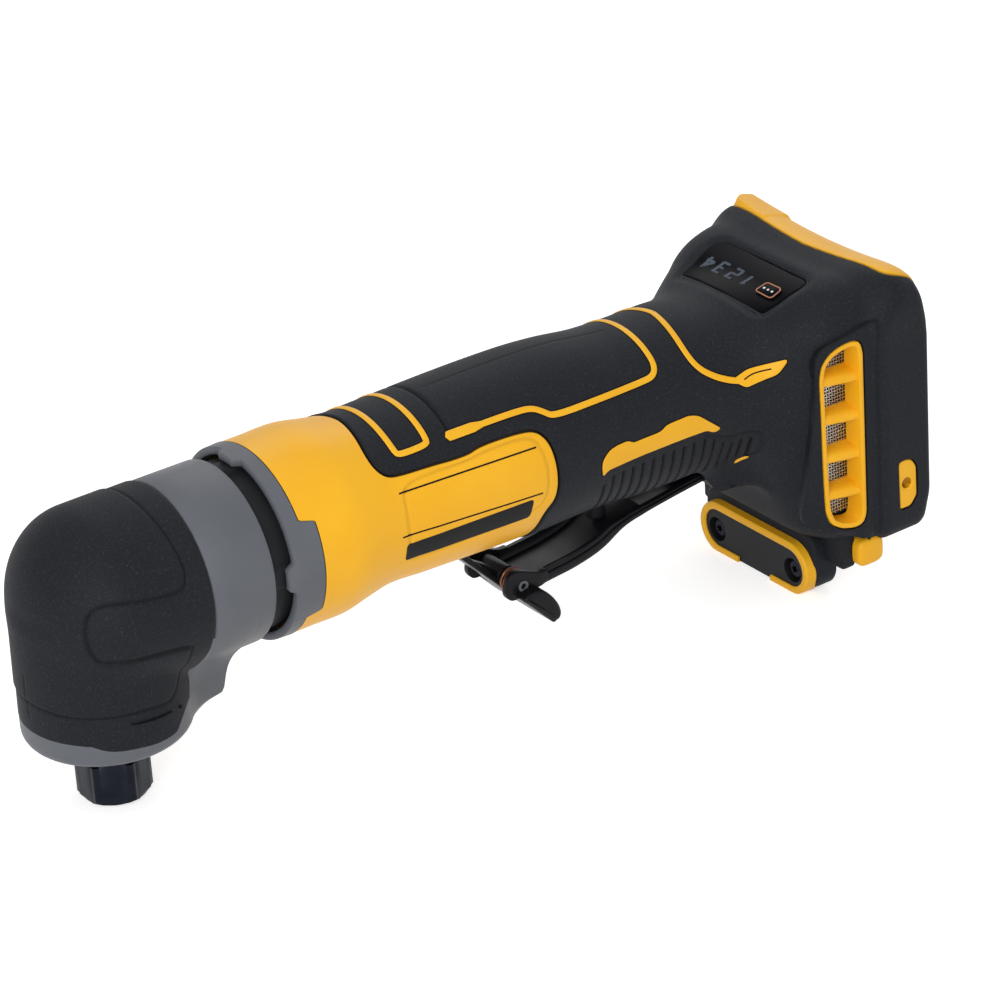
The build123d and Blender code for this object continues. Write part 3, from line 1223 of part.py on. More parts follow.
def make_switch():
    """Switch block with a blind hole for its plunger."""
    hole = Pos(SWITCH_X, 0, AXIS_Z + SWITCH_BOTTOM_Z) * Cylinder(
        PLUNGER_R + RUNNING_FIT, PLUNGER_SEAT + PLUNGER_TRAVEL + CLEARANCE, align=CENTRE_MIN)
    return switch_body() - hole


def make_lever_pivot_pin():
    reach = LEVER_HALF + CLEARANCE + LUG_WALL
    return rod_y(LEVER_PIVOT_X, LEVER_PIVOT_Z, -reach, reach, LEVER_PIVOT_R)


def placed_along_x(size, x):
    """Bearing turned onto the motor axis."""
    return Pos(x, 0, AXIS_Z) * Rot(0, 90, 0) * bearing(running(size))


def placed_along_z(size, z):
    """Bearing on the spindle axis, its lower face at a height above the motor axis."""
    return Pos(0, 0, AXIS_Z + z) * bearing(running(size))


def main():
    os.makedirs("parts", exist_ok=True)
    save("head_boot", make_boot())
    save("gear_case", make_gear_case())
    save("bearing_retainer", make_bearing_retainer())
    save("lower_spindle_bearing", placed_along_z(SPINDLE_BEARING, SPINDLE_BEARING_Z))
    save("upper_spindle_bearing", placed_along_z(TOP_BEARING, TOP_BEARING_Z))
    save("front_rotor_bearing", placed_along_x(FRONT_BEARING, FRONT_BEARING_X))
    save("rear_rotor_bearing", placed_along_x(REAR_BEARING, REAR_BEARING_X))
    save("gear_case_screws", *case_screws())
    save("fan_baffle", make_baffle())
    save("air_deflector_ring", make_ring())
    save("bevel_pinion", make_bevel_pinion())
    save("bevel_gear", make_bevel_gear())
    save("spindle", make_spindle())
    save("collet", make_collet())
    save("collet_nut", make_collet_nut())
    save("rotor_shaft", make_rotor_shaft())
    save("rotor_core", make_rotor_core())
    save("cooling_fan", make_fan())
    save("stator_core", make_stator_core())
    save("stator_windings", *make_windings())
    save("sensor_board", make_sensor_board())
    save("motor_leads", *make_motor_leads())
    for name, shell in make_housings().items():
        save(name, shell)
    save("housing_screws", *[housing_screw(x, z, 0) for x, z in HOUSING_SCREW_SPOTS])
    for side, name in ((-1, "left"), (1, "right")):
        save(f"{name}_vent_grille", make_vent(side))
        save(f"{name}_vent_screen", make_screen(side))
    button_low = -LENS_THICK + BUTTON_TRAVEL + RUNNING_FIT
    button_hole = button_plate(2 * RUNNING_FIT, -LENS_THICK, BEYOND)
    save("display_lens", display_plate(0, -LENS_THICK, 0) - button_hole)
    save("speed_button", button_plate(0, button_low, BUTTON_PROUD))
    save("speed_board", display_plate(3, -LENS_THICK - SPEED_BOARD, -LENS_THICK))
    blades = [blade(k) for k in range(BLADES)]
    save("terminal_block", terminal_seat() - blades)
    save("terminal_blades", *blades)
    save("controller_module", make_controller())
    save("chip_bay_cover", make_bay_cover())
    save("chip_bay_screws", bay_screw(-1, 0), bay_screw(1, 0))
    save("lever_switch", make_switch())
    save("switch_plunger", make_plunger())
    save("paddle_lever", make_lever())
    save("lever_pivot_pin", make_lever_pivot_pin())
    save("lock_lever", make_lock_lever())
    save("lock_pin", make_lock_pin())
    save("lock_spring", make_lock_spring())


if __name__ == "__main__":
    main()
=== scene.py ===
"""Looks of a right-angle cordless die grinder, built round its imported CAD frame.

Lengths are in millimetres in the tool's own axes: x runs back along the motor axis from the spindle, y to
the tool's right and z up from the motor axis. They turn into metres, and into the frame's heights, only
when a mesh is made. Angles round the handle count in degrees from the top, positive to the left side.
"""
import json
import math

import bmesh
import bpy
import numpy as np
from mathutils import Matrix, Vector


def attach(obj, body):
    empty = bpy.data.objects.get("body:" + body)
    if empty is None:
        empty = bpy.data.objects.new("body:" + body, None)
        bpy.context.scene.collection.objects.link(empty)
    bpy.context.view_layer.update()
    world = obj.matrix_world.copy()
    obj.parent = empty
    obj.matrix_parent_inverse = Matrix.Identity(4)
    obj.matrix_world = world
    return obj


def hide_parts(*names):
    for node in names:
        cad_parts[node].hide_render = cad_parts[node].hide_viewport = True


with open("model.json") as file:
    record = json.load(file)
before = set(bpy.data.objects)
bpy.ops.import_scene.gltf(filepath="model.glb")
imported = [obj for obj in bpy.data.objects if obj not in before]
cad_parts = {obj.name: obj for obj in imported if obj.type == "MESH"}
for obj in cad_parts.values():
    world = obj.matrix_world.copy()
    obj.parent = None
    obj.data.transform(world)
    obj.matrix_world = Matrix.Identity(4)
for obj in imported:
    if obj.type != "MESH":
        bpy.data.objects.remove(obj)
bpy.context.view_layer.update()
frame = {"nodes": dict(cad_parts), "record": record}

AXIS_Z = 61.0
MM = 0.001
SLOPE_STEP = 0.15
FAR = 9.0


# Small maths


def smooth_max(a, b, k):
    """Larger of two fields, with the crease between them rounded over a band of width k."""
    h = np.maximum(k - np.abs(a - b), 0) / k
    return np.maximum(a, b) + h * h * k / 4


def smooth_min(a, b, k):
    """Smaller of two fields, with the crease between them filled over a band of width k."""
    return -smooth_max(-a, -b, k)


def ease(low, high, value):
    """Runs smoothly from 0 at low to 1 at high."""
    t = np.clip((value - low) / (high - low), 0, 1)
    return t * t * (3 - 2 * t)


def axes(p):
    """The x, y and z values of points."""
    return p[..., 0], p[..., 1], p[..., 2]


def shoulder(distance, width):
    """Rounded edge: a quarter circle that rises from 0 on a line to 1 at a width inside it."""
    return np.sqrt(1 - (1 - np.clip(distance / width, 0, 1)) ** 2)


def circle(centre, radius, count):
    """Points round a centre in a plane."""
    turn = np.linspace(0, 2 * math.pi, count + 1)[:-1]
    return np.asarray(centre, float) + np.stack([np.cos(turn), np.sin(turn)], 1) * radius


def curve(stations, x):
    """Cubic pieces through (x, value) stations, each slope taken from the station's neighbours."""
    s = np.asarray(stations, float)
    slope = np.gradient(s[:, 1], s[:, 0])
    x = np.clip(x, s[0, 0], s[-1, 0])
    k = np.clip(np.searchsorted(s[:, 0], x) - 1, 0, len(s) - 2)
    span = s[k + 1, 0] - s[k, 0]
    t = (x - s[k, 0]) / span
    rise = (3 * t**2 - 2 * t**3)
    bend = (t**3 - 2 * t**2 + t) * slope[k] * span + (t**3 - t**2) * slope[k + 1] * span
    return (1 - rise) * s[k, 1] + rise * s[k + 1, 1] + bend


def soften(corners, rounds=3, closed=False):
    """Cuts every corner of a line at a quarter of its runs, several times over, which rounds it."""
    line = np.asarray(corners, float)
    for _ in range(rounds):
        after = np.roll(line, -1, 0) if closed else line[1:]
        before = line if closed else line[:-1]
        pair = np.stack([0.75 * before + 0.25 * after, 0.25 * before + 0.75 * after], 1)
        cut = pair.reshape(-1, line.shape[1])
        line = cut if closed else np.concatenate([line[:1], cut, line[-1:]])
    return line


def resample(line, spacing, closed=False):
    """Points at equal steps along a line."""
    line = np.asarray(line, float)
    if closed:
        line = np.concatenate([line, line[:1]])
    run = np.concatenate([[0], np.cumsum(np.linalg.norm(np.diff(line, axis=0), axis=1))])
    steps = max(int(round(run[-1] / spacing)), 3)
    at = np.linspace(0, run[-1], steps + 1)
    if closed:
        at = at[:-1]
    return np.stack([np.interp(at, run, column) for column in line.T], 1)


def line_distance(points, line, closed=False):
    """Least distance from each point to a line's segments."""
    line = np.asarray(line, float)
    ends = np.roll(line, -1, 0) if closed else line[1:]
    best = np.full(len(points), np.inf)
    for a, b in zip(line, ends):
        run = b - a
        t = np.clip((points - a) @ run / max(run @ run, 1e-12), 0, 1)
        best = np.minimum(best, np.linalg.norm(points - a - t[:, None] * run, axis=1))
    return best


def outline_distance(points, outline):
    """Signed distance to a closed outline in a plane: positive inside it."""
    outline = np.asarray(outline, float)
    inside = np.zeros(len(points), bool)
    for (ax, ay), (bx, by) in zip(outline, np.roll(outline, -1, 0)):
        across = (ay > points[:, 1]) != (by > points[:, 1])
        rise = by - ay if by != ay else 1e-12
        inside ^= across & (points[:, 0] < ax + (bx - ax) * (points[:, 1] - ay) / rise)
    distance = line_distance(points, outline, closed=True)
    return np.where(inside, distance, -distance)


def box_outline(half_u, half_v, radius, centre=(0, 0), count=10):
    """Rectangle with round corners, counterclockwise."""
    turn = np.radians(np.linspace(0, 90, count))
    corners = []
    for k, (su, sv) in enumerate(((1, 1), (-1, 1), (-1, -1), (1, -1))):
        a = turn + k * math.pi / 2
        corners.append(np.stack([
            su * (half_u - radius) + radius * np.cos(a), sv * (half_v - radius) + radius * np.sin(a)], 1))
    return np.concatenate(corners) + np.asarray(centre, float)


# Surfaces: each part of a piece is (points, list of face tables, groove values); a groove value paints shade
# into the finish


def grid_faces(rows, columns, wrap=False):
    """Quads between neighbouring points of a grid, facing along row direction x column direction."""
    index = np.arange(rows * columns).reshape(rows, columns)
    if wrap:
        index = np.concatenate([index, index[:, :1]], 1)
    return np.stack([index[:-1, :-1], index[1:, :-1], index[1:, 1:], index[:-1, 1:]], -1).reshape(-1, 4)


def as_triangles(quads):
    return np.concatenate([quads[:, [0, 1, 2]], quads[:, [0, 2, 3]]])


def part(points, faces, groove=0.0):
    points = np.asarray(points, float).reshape(-1, 3)
    faces = faces if isinstance(faces, list) else [faces]
    return points, faces, np.broadcast_to(np.asarray(groove, float), len(points)).copy()


def turned_over(piece):
    """The same part with its faces turned round."""
    points, faces, groove = piece
    return points, [f[:, ::-1] for f in faces], groove


def mirrored(piece):
    """Mirror image in the tool's middle plane."""
    points, faces, groove = piece
    return points * (1, -1, 1), [f[:, ::-1] for f in faces], groove


def outwards(piece):
    """A closed part with its faces turned out: the sign of its volume tells which way they look."""
    points, faces, groove = piece
    volume = 0.0
    for table in faces:
        for k in range(1, table.shape[1] - 1):
            a, b, c = points[table[:, 0]], points[table[:, k]], points[table[:, k + 1]]
            volume += np.einsum("ij,ij->i", a, np.cross(b, c)).sum()
    return piece if volume > 0 else turned_over(piece)


def sweep(path, across, up, profile, closed=False, loop=False, groove=0.0, width=None):
    """A profile of (side, height) pairs carried along a path: path + side x across + height x up."""
    path, across, up = (np.asarray(v, float) for v in (path, across, up))
    profile = np.asarray(profile, float)
    wide = np.ones(len(path)) if width is None else np.asarray(width, float)
    points = (path[:, None] + profile[None, :, :1] * wide[:, None, None] * across[:, None]
              + profile[None, :, 1:] * up[:, None])
    if closed:
        points = np.concatenate([points, points[:1]])
    faces = grid_faces(points.shape[0], points.shape[1], wrap=loop)
    shade = np.broadcast_to(np.asarray(groove, float), points.shape[:2]).reshape(-1)
    return part(points, faces, shade)


def directions(path, closed=False):
    """Unit directions along a path."""
    path = np.asarray(path, float)
    if closed:
        run = np.roll(path, -1, 0) - np.roll(path, 1, 0)
    else:
        run = np.gradient(path, axis=0)
    return run / np.linalg.norm(run, axis=1, keepdims=True)


def outline_normals(outline):
    """Directions out of a closed outline in a plane; the sign of its area tells its sense."""
    run = directions(outline, closed=True)
    out = np.stack([run[:, 1], -run[:, 0]], 1)
    after = np.roll(outline, -1, 0)
    area = np.sum(outline[:, 0] * after[:, 1] - outline[:, 1] * after[:, 0])
    return out if area > 0 else -out


def slab(outline, place, low, high, edge=0.3, groove=0.0, steps=4):
    """Plate from a closed outline: its wall rises from low to high, its upper edge follows a quarter circle.

    place turns (u, v, height) into points, so the plate may lie on any surface.
    """
    outline = np.asarray(outline, float)
    out = outline_normals(outline)
    turn = np.linspace(0, math.pi / 2, steps)
    heights = np.concatenate([[low, low], high - edge + edge * np.sin(turn)])
    drawn_in = np.concatenate([[min(edge, 0.2), 0], edge * (1 - np.cos(turn))])
    ring = outline[None] - drawn_in[:, None, None] * out[None]
    count = len(outline)
    points = place(ring[..., 0], ring[..., 1], np.broadcast_to(heights[:, None], ring.shape[:2]))
    faces = [grid_faces(len(heights), count, wrap=True)]
    faces.append(np.arange(count)[None, :])
    faces.append((len(heights) - 1) * count + np.arange(count)[None, ::-1])
    return outwards(part(points, faces, groove))


def revolved(profile, columns, groove, place):
    """Profile of pairs carried round an axis: place turns (first, second, angle) into x, y and z."""
    profile = np.asarray(profile, float)
    angle = np.radians(np.linspace(0, 360, columns))
    points = np.stack(np.broadcast_arrays(*place(profile[:, :1], profile[:, 1:], angle)), -1)
    shade = np.repeat(np.broadcast_to(np.asarray(groove, float), len(profile)), columns)
    return turned_over(part(points, grid_faces(len(profile), columns), shade))


def around_x(profile, columns, groove=0.0):
    """Profile of (x, radius) pairs turned about the motor axis; run with x rising on the outside."""
    return revolved(profile, columns, groove, lambda x, r, a: (x, -r * np.sin(a), r * np.cos(a)))


def around_z(profile, columns, groove=0.0):
    """Profile of (radius, z) pairs turned about the spindle axis; run with z rising on the outside."""
    return revolved(profile, columns, groove, lambda r, z, a: (r * np.cos(a), r * np.sin(a), z))


def ring_rows(rows, angle):
    """Rows of (x, radius) round the motor axis, either of which may change with the angle, joined in turn."""
    a = np.radians(angle)
    points = [np.stack(np.broadcast_arrays(x, -r * np.sin(a), r * np.cos(a)), -1) for x, r in rows]
    return turned_over(part(np.stack(points), grid_faces(len(rows), len(a))))


class Skin:
    """Triangles over a table of x, y, z, two surface coordinates and a groove value, the painted shade, for
    each point.
    """

    def __init__(self, table, triangles):
        self.table = table
        self.triangles = triangles

    @property
    def xyz(self):
        return self.table[:, :3]

    @property
    def uv(self):
        return self.table[:, 3:5]

    def keep(self, value):
        """Cuts the triangles along value = 0 and keeps the side where it is positive.

        A triangle with one corner kept becomes a smaller one, and with two a quad of two triangles; the
        cut points divide their edges in the ratio of the values, and neighbours share them.
        """
        value = np.where(np.abs(value) < 1e-6, 1e-6, value)
        kept = value[self.triangles] > 0
        count = kept.sum(1)
        whole = self.triangles[count == 3]
        one = self.triangles[count == 1]
        two = self.triangles[count == 2]
        shift = np.argmax(kept[count == 1], 1) if len(one) else np.zeros(0, int)
        one = np.take_along_axis(one, (np.arange(3) + shift[:, None]) % 3, 1)
        shift = np.argmin(kept[count == 2], 1) if len(two) else np.zeros(0, int)
        two = np.take_along_axis(two, (np.arange(3) + shift[:, None]) % 3, 1)
        edges = np.concatenate([one[:, [0, 1]], one[:, [0, 2]], two[:, [0, 1]], two[:, [0, 2]]])
        pairs, where = np.unique(np.sort(edges, 1), axis=0, return_inverse=True)
        where = where.reshape(-1) + len(self.table)
        a, b = value[pairs[:, 0]], value[pairs[:, 1]]
        t = (a / (a - b))[:, None]
        table = np.concatenate(
            [self.table, self.table[pairs[:, 0]] * (1 - t) + self.table[pairs[:, 1]] * t])
        n, m = len(one), len(two)
        ab, ac, cd, ce = where[:n], where[n:2 * n], where[2 * n:2 * n + m], where[2 * n + m:]
        triangles = np.concatenate([
            whole, np.stack([one[:, 0], ab, ac], 1), np.stack([cd, two[:, 1], two[:, 2]], 1),
            np.stack([cd, two[:, 2], ce], 1)])
        used, triangles = np.unique(triangles, return_inverse=True)
        return Skin(table[used], triangles.reshape(-1, 3))

    def part(self):
        return part(self.xyz, self.triangles, self.table[:, 5])

    def skirt(self, depth, chosen=None, shade=1.0):
        """Walls from the open edges into the body: each edge moved down the mean normals of its ends. The
        walls carry a groove value of painted shade, 1 by default, which darkens them like shaded walls.
        """
        a, b, c = (self.xyz[self.triangles[:, k]] for k in range(3))
        face = np.cross(b - a, c - a)
        normal = np.zeros_like(self.xyz)
        for k in range(3):
            np.add.at(normal, self.triangles[:, k], face)
        normal /= np.maximum(np.linalg.norm(normal, axis=1, keepdims=True), 1e-12)
        edges = self.triangles[:, [0, 1, 1, 2, 2, 0]].reshape(-1, 2)
        _, first, count = np.unique(np.sort(edges, 1), axis=0, return_index=True, return_counts=True)
        border = edges[first[count == 1]]
        if chosen is not None:
            border = border[chosen[border].all(1)]
        low = self.xyz - depth * normal
        n = len(border)
        points = np.concatenate([rows[border[:, k]] for rows in (self.xyz, low) for k in range(2)])
        index = np.arange(n)
        faces = np.stack([n + index, index, 2 * n + index, 3 * n + index], 1)
        top = self.table[border.T.ravel(), 5]
        return part(points, faces, np.concatenate([top, np.full(2 * n, shade)]))


def grid_skin(points, u, v, flip=False):
    """Skin over a grid of points with two surface coordinates."""
    faces = grid_faces(*u.shape)
    flat = np.stack([u.ravel(), v.ravel()], 1)
    table = np.concatenate([np.reshape(points, (-1, 3)), flat, np.zeros((u.size, 1))], 1)
    return Skin(table, as_triangles(faces[:, ::-1] if flip else faces))


def build_mesh(name, parts):
    """One mesh of several parts, in metres, with doubled points merged and each point's groove value, which
    paints shade into the finish.
    """
    offsets = np.cumsum([0] + [len(p[0]) for p in parts])
    points = np.concatenate([p[0] for p in parts])
    tables = [table + offset for (_, faces, _), offset in zip(parts, offsets) for table in faces]
    corners = np.concatenate([t.ravel() for t in tables])
    sizes = np.concatenate([np.full(len(t), t.shape[1]) for t in tables])
    mesh = bpy.data.meshes.new(name)
    mesh.vertices.add(len(points))
    mesh.vertices.foreach_set("co", ((points + (0, 0, AXIS_Z)) * MM).astype(np.float32).ravel())
    mesh.loops.add(len(corners))
    mesh.loops.foreach_set("vertex_index", corners.astype(np.int32))
    mesh.polygons.add(len(sizes))
    mesh.polygons.foreach_set("loop_start", np.concatenate([[0], np.cumsum(sizes)[:-1]]).astype(np.int32))
    mesh.update(calc_edges=True)
    groove = mesh.attributes.new("groove", "FLOAT", "POINT")
    groove.data.foreach_set("value", np.concatenate([p[2] for p in parts]).astype(np.float32))
    mesh.validate()
    merged = bmesh.new()
    merged.from_mesh(mesh)
    bmesh.ops.remove_doubles(merged, verts=merged.verts, dist=1e-7)
    bmesh.ops.dissolve_degenerate(merged, edges=merged.edges, dist=1e-8)
    merged.to_mesh(mesh)
    merged.free()
    return mesh


def make_piece(name, parts, finish, body="housing", nodes=(), sharp=38.0):
    """One visible piece: its mesh in place, its finish, the body it rides on and the nodes it stands for."""
    mesh = build_mesh(name, parts)
    mesh.polygons.foreach_set("use_smooth", np.ones(len(mesh.polygons), bool))
    mesh.set_sharp_from_angle(angle=math.radians(sharp))
    mesh.materials.append(finish)
    piece = bpy.data.objects.new(name, mesh)
    bpy.context.scene.collection.objects.link(piece)
    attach(piece, body)
    if nodes:
        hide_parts(*nodes)
    return piece


def make_pair(name, left, finish, node=None, right=None):
    """Left and right pieces of one name: the right one mirrors its own parts, or else the left ones."""
    for side, parts in (("left", left), ("right", [mirrored(p) for p in right or left])):
        nodes = (side + "_" + node,) if node else ()
        make_piece(side + "_" + name, parts, finish, nodes=nodes)


# Finishes


class Wire:
    """A shader socket that can be used in arithmetic: each operator adds one Math node."""

    def __init__(self, finish, socket):
        self.finish = finish
        self.socket = socket

    def maths(self, operation, a, b=0.0):
        return self.finish.add("ShaderNodeMath", {"operation": operation}, {0: a, 1: b})

    def __add__(self, other):
        return self.maths("ADD", self, other)

    def __sub__(self, other):
        return self.maths("SUBTRACT", self, other)

    def __mul__(self, other):
        return self.maths("MULTIPLY", self, other)

    def __rsub__(self, other):
        return self.maths("SUBTRACT", other, self)

    __radd__ = __add__
    __rmul__ = __mul__

    def between(self, low, high):
        """0 below low, 1 above high."""
        inputs = {0: self, 1: low, 2: high, 3: 0.0, 4: 1.0}
        return self.finish.add("ShaderNodeMapRange", {"clamp": True}, inputs)


class Finish:
    """A material round one Principled shader."""

    def __init__(self, name, **constants):
        self.material = bpy.data.materials.new(name)
        self.material.use_nodes = True
        self.tree = self.material.node_tree
        self.shader = self.tree.nodes["Principled BSDF"]
        for socket, value in constants.items():
            self.shader.inputs[socket.replace("_", " ").title().replace("Ior", "IOR")].default_value = value

    def add(self, kind, settings, inputs, output=0):
        """A node of any type: its settings first, then the values or links of its sockets."""
        node = self.tree.nodes.new(kind)
        for name, value in settings.items():
            setattr(node, name, value)
        for socket, value in inputs.items():
            if isinstance(value, Wire):
                self.tree.links.new(value.socket, node.inputs[socket])
            else:
                node.inputs[socket].default_value = value
        return Wire(self, node.outputs[output])

    def feed(self, socket, wire):
        self.tree.links.new(wire.socket, self.shader.inputs[socket])

    def place(self):
        return self.add("ShaderNodeTexCoord", {}, {}, "Object")

    def noise(self, size, detail=3.0, rough=0.55):
        """Noise whose patches measure about size millimetres."""
        return self.add("ShaderNodeTexNoise", {}, {
            "Vector": self.place(), "Scale": 1 / (size * MM), "Detail": detail, "Roughness": rough})

    def mix(self, factor, a, b):
        return self.add("ShaderNodeMix", {"data_type": "RGBA"}, {0: factor, 6: a, 7: b}, 2)

    # Painted shade: the groove attribute darkens grooves, gaps, recesses and walls where shade falls.
    def groove(self):
        return self.add("ShaderNodeAttribute", {"attribute_name": "groove"}, {}, "Fac")

    def bump(self, height, depth):
        """Raises the surface by up to depth millimetres where height is 1."""
        inputs = {"Strength": 1.0, "Distance": depth * MM, "Height": height}
        self.feed("Normal", self.add("ShaderNodeBump", {}, inputs))


def tone(red, green, blue):
    """Linear colour of the 0 to 255 values that a picture shows."""
    c = np.array([red, green, blue]) / 255
    linear = np.where(c <= 0.04045, c / 12.92, ((c + 0.055) / 1.055) ** 2.4)
    return (*linear.tolist(), 1.0)


def moulded(name, colour, drift, groove_shade_colour, rough, grain, depth, **constants):
    """Moulded or painted skin: two tones drift over it, fine grain raises it, grooves get a painted shade
    colour and are duller.
    """
    f = Finish(name, **constants)
    wide = f.noise(22.0, 2.0).between(0.35, 0.65)
    fine = f.noise(grain, 2.0)
    coarse = f.noise(grain * 4.5, 1.0)
    groove = f.groove()
    body = f.mix(wide, colour, drift)
    # Painted shade: the groove value mixes in the groove shade colour.
    f.feed("Base Color", f.mix(groove, body, groove_shade_colour))
    f.feed("Roughness", rough + 0.14 * (fine - 0.5) + 0.08 * (coarse - 0.5) + 0.2 * groove)
    f.bump(fine * 0.7 + coarse * 0.3, depth)
    return f.material


def rubber(name, colour, drift):
    """Soft overmould: charcoal with a dense fine grain and a scatter of pale dust; grooves get a painted
    near-black shade.
    """
    f = Finish(name, specular_ior_level=0.12)
    grain = f.noise(0.55, 3.0, 0.6)
    patch = f.noise(30.0, 3.0).between(0.3, 0.7)
    dust = f.noise(0.6, 2.0).between(0.55, 0.8)
    groove = f.groove()
    body = f.mix(patch, colour, drift)
    body = f.mix(dust * 0.2, body, tone(92, 95, 102))
    # Painted shade: the groove value mixes in near-black.
    f.feed("Base Color", f.mix(groove, body, tone(12, 12, 14)))
    f.feed("Roughness", 0.58 + 0.22 * (grain - 0.5) + 0.06 * patch)
    f.bump(grain, 0.05)
    return f.material


def metal(name, colour, rough):
    """Machined or blackened metal: fine turning lines and smudges change its gloss."""
    f = Finish(name, metallic=1.0)
    lines = f.noise(0.3, 5.0, 0.7)
    smudge = f.noise(6.0, 3.0)
    dark = tuple(0.6 * c for c in colour[:3]) + (1.0,)
    f.feed("Base Color", f.mix(smudge.between(0.3, 0.7), colour, dark))
    f.feed("Roughness", rough + 0.22 * (lines - 0.5) + 0.12 * (smudge - 0.5))
    f.bump(lines, 0.006)
    return f.material


def gloss(name, colour, drift, rough, **constants):
    """Polished black plastic or lacquer: faint waviness and smears under a clear gloss."""
    f = Finish(name, **constants)
    wave = f.noise(3.5, 2.0)
    smear = f.noise(9.0, 4.0, 0.65)
    f.feed("Base Color", f.mix(smear.between(0.35, 0.7), colour, drift))
    f.feed("Roughness", rough + 0.1 * (smear - 0.45))
    f.bump(wave, 0.012)
    return f.material


# The third tone of each moulded finish is the painted shade of its grooves and recesses.
YELLOW = moulded(
    "yellow_plastic", tone(243, 177, 24), tone(246, 183, 32), tone(58, 38, 8), 0.42, 0.35, 0.012,
    specular_ior_level=0.3)
BOOT = rubber("boot_rubber", tone(26, 28, 33), tone(30, 32, 37))
GRIP = rubber("grip_rubber", tone(27, 29, 34), tone(31, 33, 38))
CASE = moulded(
    "case_paint", tone(94, 97, 103), tone(99, 102, 108), tone(24, 24, 26), 0.46, 0.5, 0.014,
    specular_ior_level=0.2)
DARK = moulded(
    "dark_plastic", tone(26, 27, 30), tone(32, 33, 36), tone(8, 8, 9), 0.5, 0.4, 0.02,
    specular_ior_level=0.14)
NUT = metal("black_steel", tone(36, 39, 47), 0.4)
STEEL = metal("bright_steel", tone(188, 188, 190), 0.3)
WIRE = metal("screen_wire", tone(196, 194, 190), 0.34)
BRASS = metal("contact_brass", tone(198, 160, 92), 0.3)
COPPER = metal("copper_wire", tone(178, 104, 66), 0.35)
SPRING = metal("spring_wire", tone(142, 96, 72), 0.38)
LEVER = gloss("lever_black", tone(17, 18, 21), tone(22, 23, 26), 0.3, specular_ior_level=0.13)
GLASS = gloss("lens_black", tone(8, 9, 13), tone(11, 12, 16), 0.24, specular_ior_level=0.02)
ORANGE = moulded("key_orange", tone(176, 112, 84), tone(184, 120, 90), tone(90, 44, 20), 0.4, 0.3, 0.01)
DIGIT = moulded(
    "digit_grey", tone(74, 82, 93), tone(80, 88, 99), tone(40, 40, 44), 0.5, 0.3, 0.004,
    specular_ior_level=0.1)
DOT = moulded("dot_white", tone(226, 226, 222), tone(236, 236, 232), tone(120, 120, 120), 0.5, 0.3, 0.004)
BOARD = moulded("board_green", tone(26, 74, 48), tone(34, 84, 54), tone(8, 20, 14), 0.45, 0.6, 0.02)
RED = moulded("lead_red", tone(170, 34, 30), tone(180, 42, 36), tone(60, 10, 10), 0.5, 0.4, 0.01)
ALLOY = moulded(
    "controller_alloy", tone(150, 152, 156), tone(160, 162, 166), tone(60, 60, 64), 0.4, 0.5, 0.02)

SLOT_FINISH = {
    "boot_rubber": BOOT, "grip_rubber": GRIP, "case_grey": CASE, "housing_yellow": YELLOW,
    "dark_plastic": DARK, "ring_plastic": CASE, "black_steel": NUT, "bright_steel": STEEL,
    "lever_black": LEVER, "lock_black": LEVER, "spring_brown": SPRING, "copper": COPPER,
    "board_green": BOARD, "lens_black": GLASS, "button_orange": ORANGE, "controller_grey": ALLOY,
    "contact_brass": BRASS, "lead_red": RED,
}


NODE_FINISH = {"lock_pin": CASE, "lever_pivot_pin": NUT}


def finish_nodes():
    """Gives every CAD node the finish of its material slot; two pins have their own."""
    for subpart in frame["record"]["subparts"]:
        name = subpart["node"]
        node = frame["nodes"][name]
        node.data.materials.clear()
        node.data.materials.append(NODE_FINISH.get(name, SLOT_FINISH[subpart["material_slot"]]))
# Form of the handle, foot and flange

HANDLE_TOP = (
    (50, 28.8), (60, 28.8), (71, 28.8), (79, 27.3), (86, 26.1), (96, 26.1), (115, 26.5), (142, 26.5),
    (150, 26.3), (161, 25.4), (175, 23.4), (188, 22.8), (201, 22.6), (213, 21.5), (226, 20), (240, 12))
HANDLE_BOTTOM = (
    (50, 28.8), (60, 28.8), (71, 28.8), (79, 27.3), (86, 26.1), (102, 26.7), (126, 27.7), (142, 28.0),
    (160, 27.9), (170, 28.5), (181, 29.8), (192, 30.1), (209, 29.4), (226, 28.6), (240, 16))
HANDLE_HALF = (
    (50, 28.8), (60, 28.8), (71, 28.8), (79, 27.3), (86, 26.1), (100, 26.1), (142, 26.3), (156, 25.8),
    (170, 25.0), (198, 25.0), (213, 26.4), (226, 29), (240, 20))
FOOT_FRONT_X = 219.0
FOOT_SIDE = ((216, 28.5), (222, 32), (228, 35), (235, 37.2), (242, 38), (270, 38))
FOOT_BOTTOM = -55.0
CHIN_X = 230.0
DISPLAY_FRONT = (223.0, 20.1)
DISPLAY_REAR = (238.3, 27.8)
FLANGE_X = 249.0
REAR_X = 268.0
FLANGE_HALF = 41.0
FLANGE_TOP = 29.3
ROOF_SAG = 3.2
ROOF_SAG_HALF = 40.0
ROOF_LEVEL_X = 250.0
ROOF_FALL = 0.0155
FLANGE_BOTTOM = -57.0
LEVER_GROOVE = (168.0, 217.5, 10.9, -27.4)
SIDE_PLANE = ((220, 36.6), (228, 36.6), (244, 39.2), (270, 39.2))
LUG_FRONT_X = 206.0
LUG_HALF = 14.4
LUG_BOTTOM = -36.0


def handle_form(p):
    """Oval round the motor axis: half ellipses above and below, their heights and width changing with x."""
    x, y, z = axes(p)
    half = curve(HANDLE_HALF, x)
    high = np.where(z > 0, curve(HANDLE_TOP, x), curve(HANDLE_BOTTOM, x))
    return (np.sqrt((y / half) ** 2 + (z / high) ** 2) - 1) * half


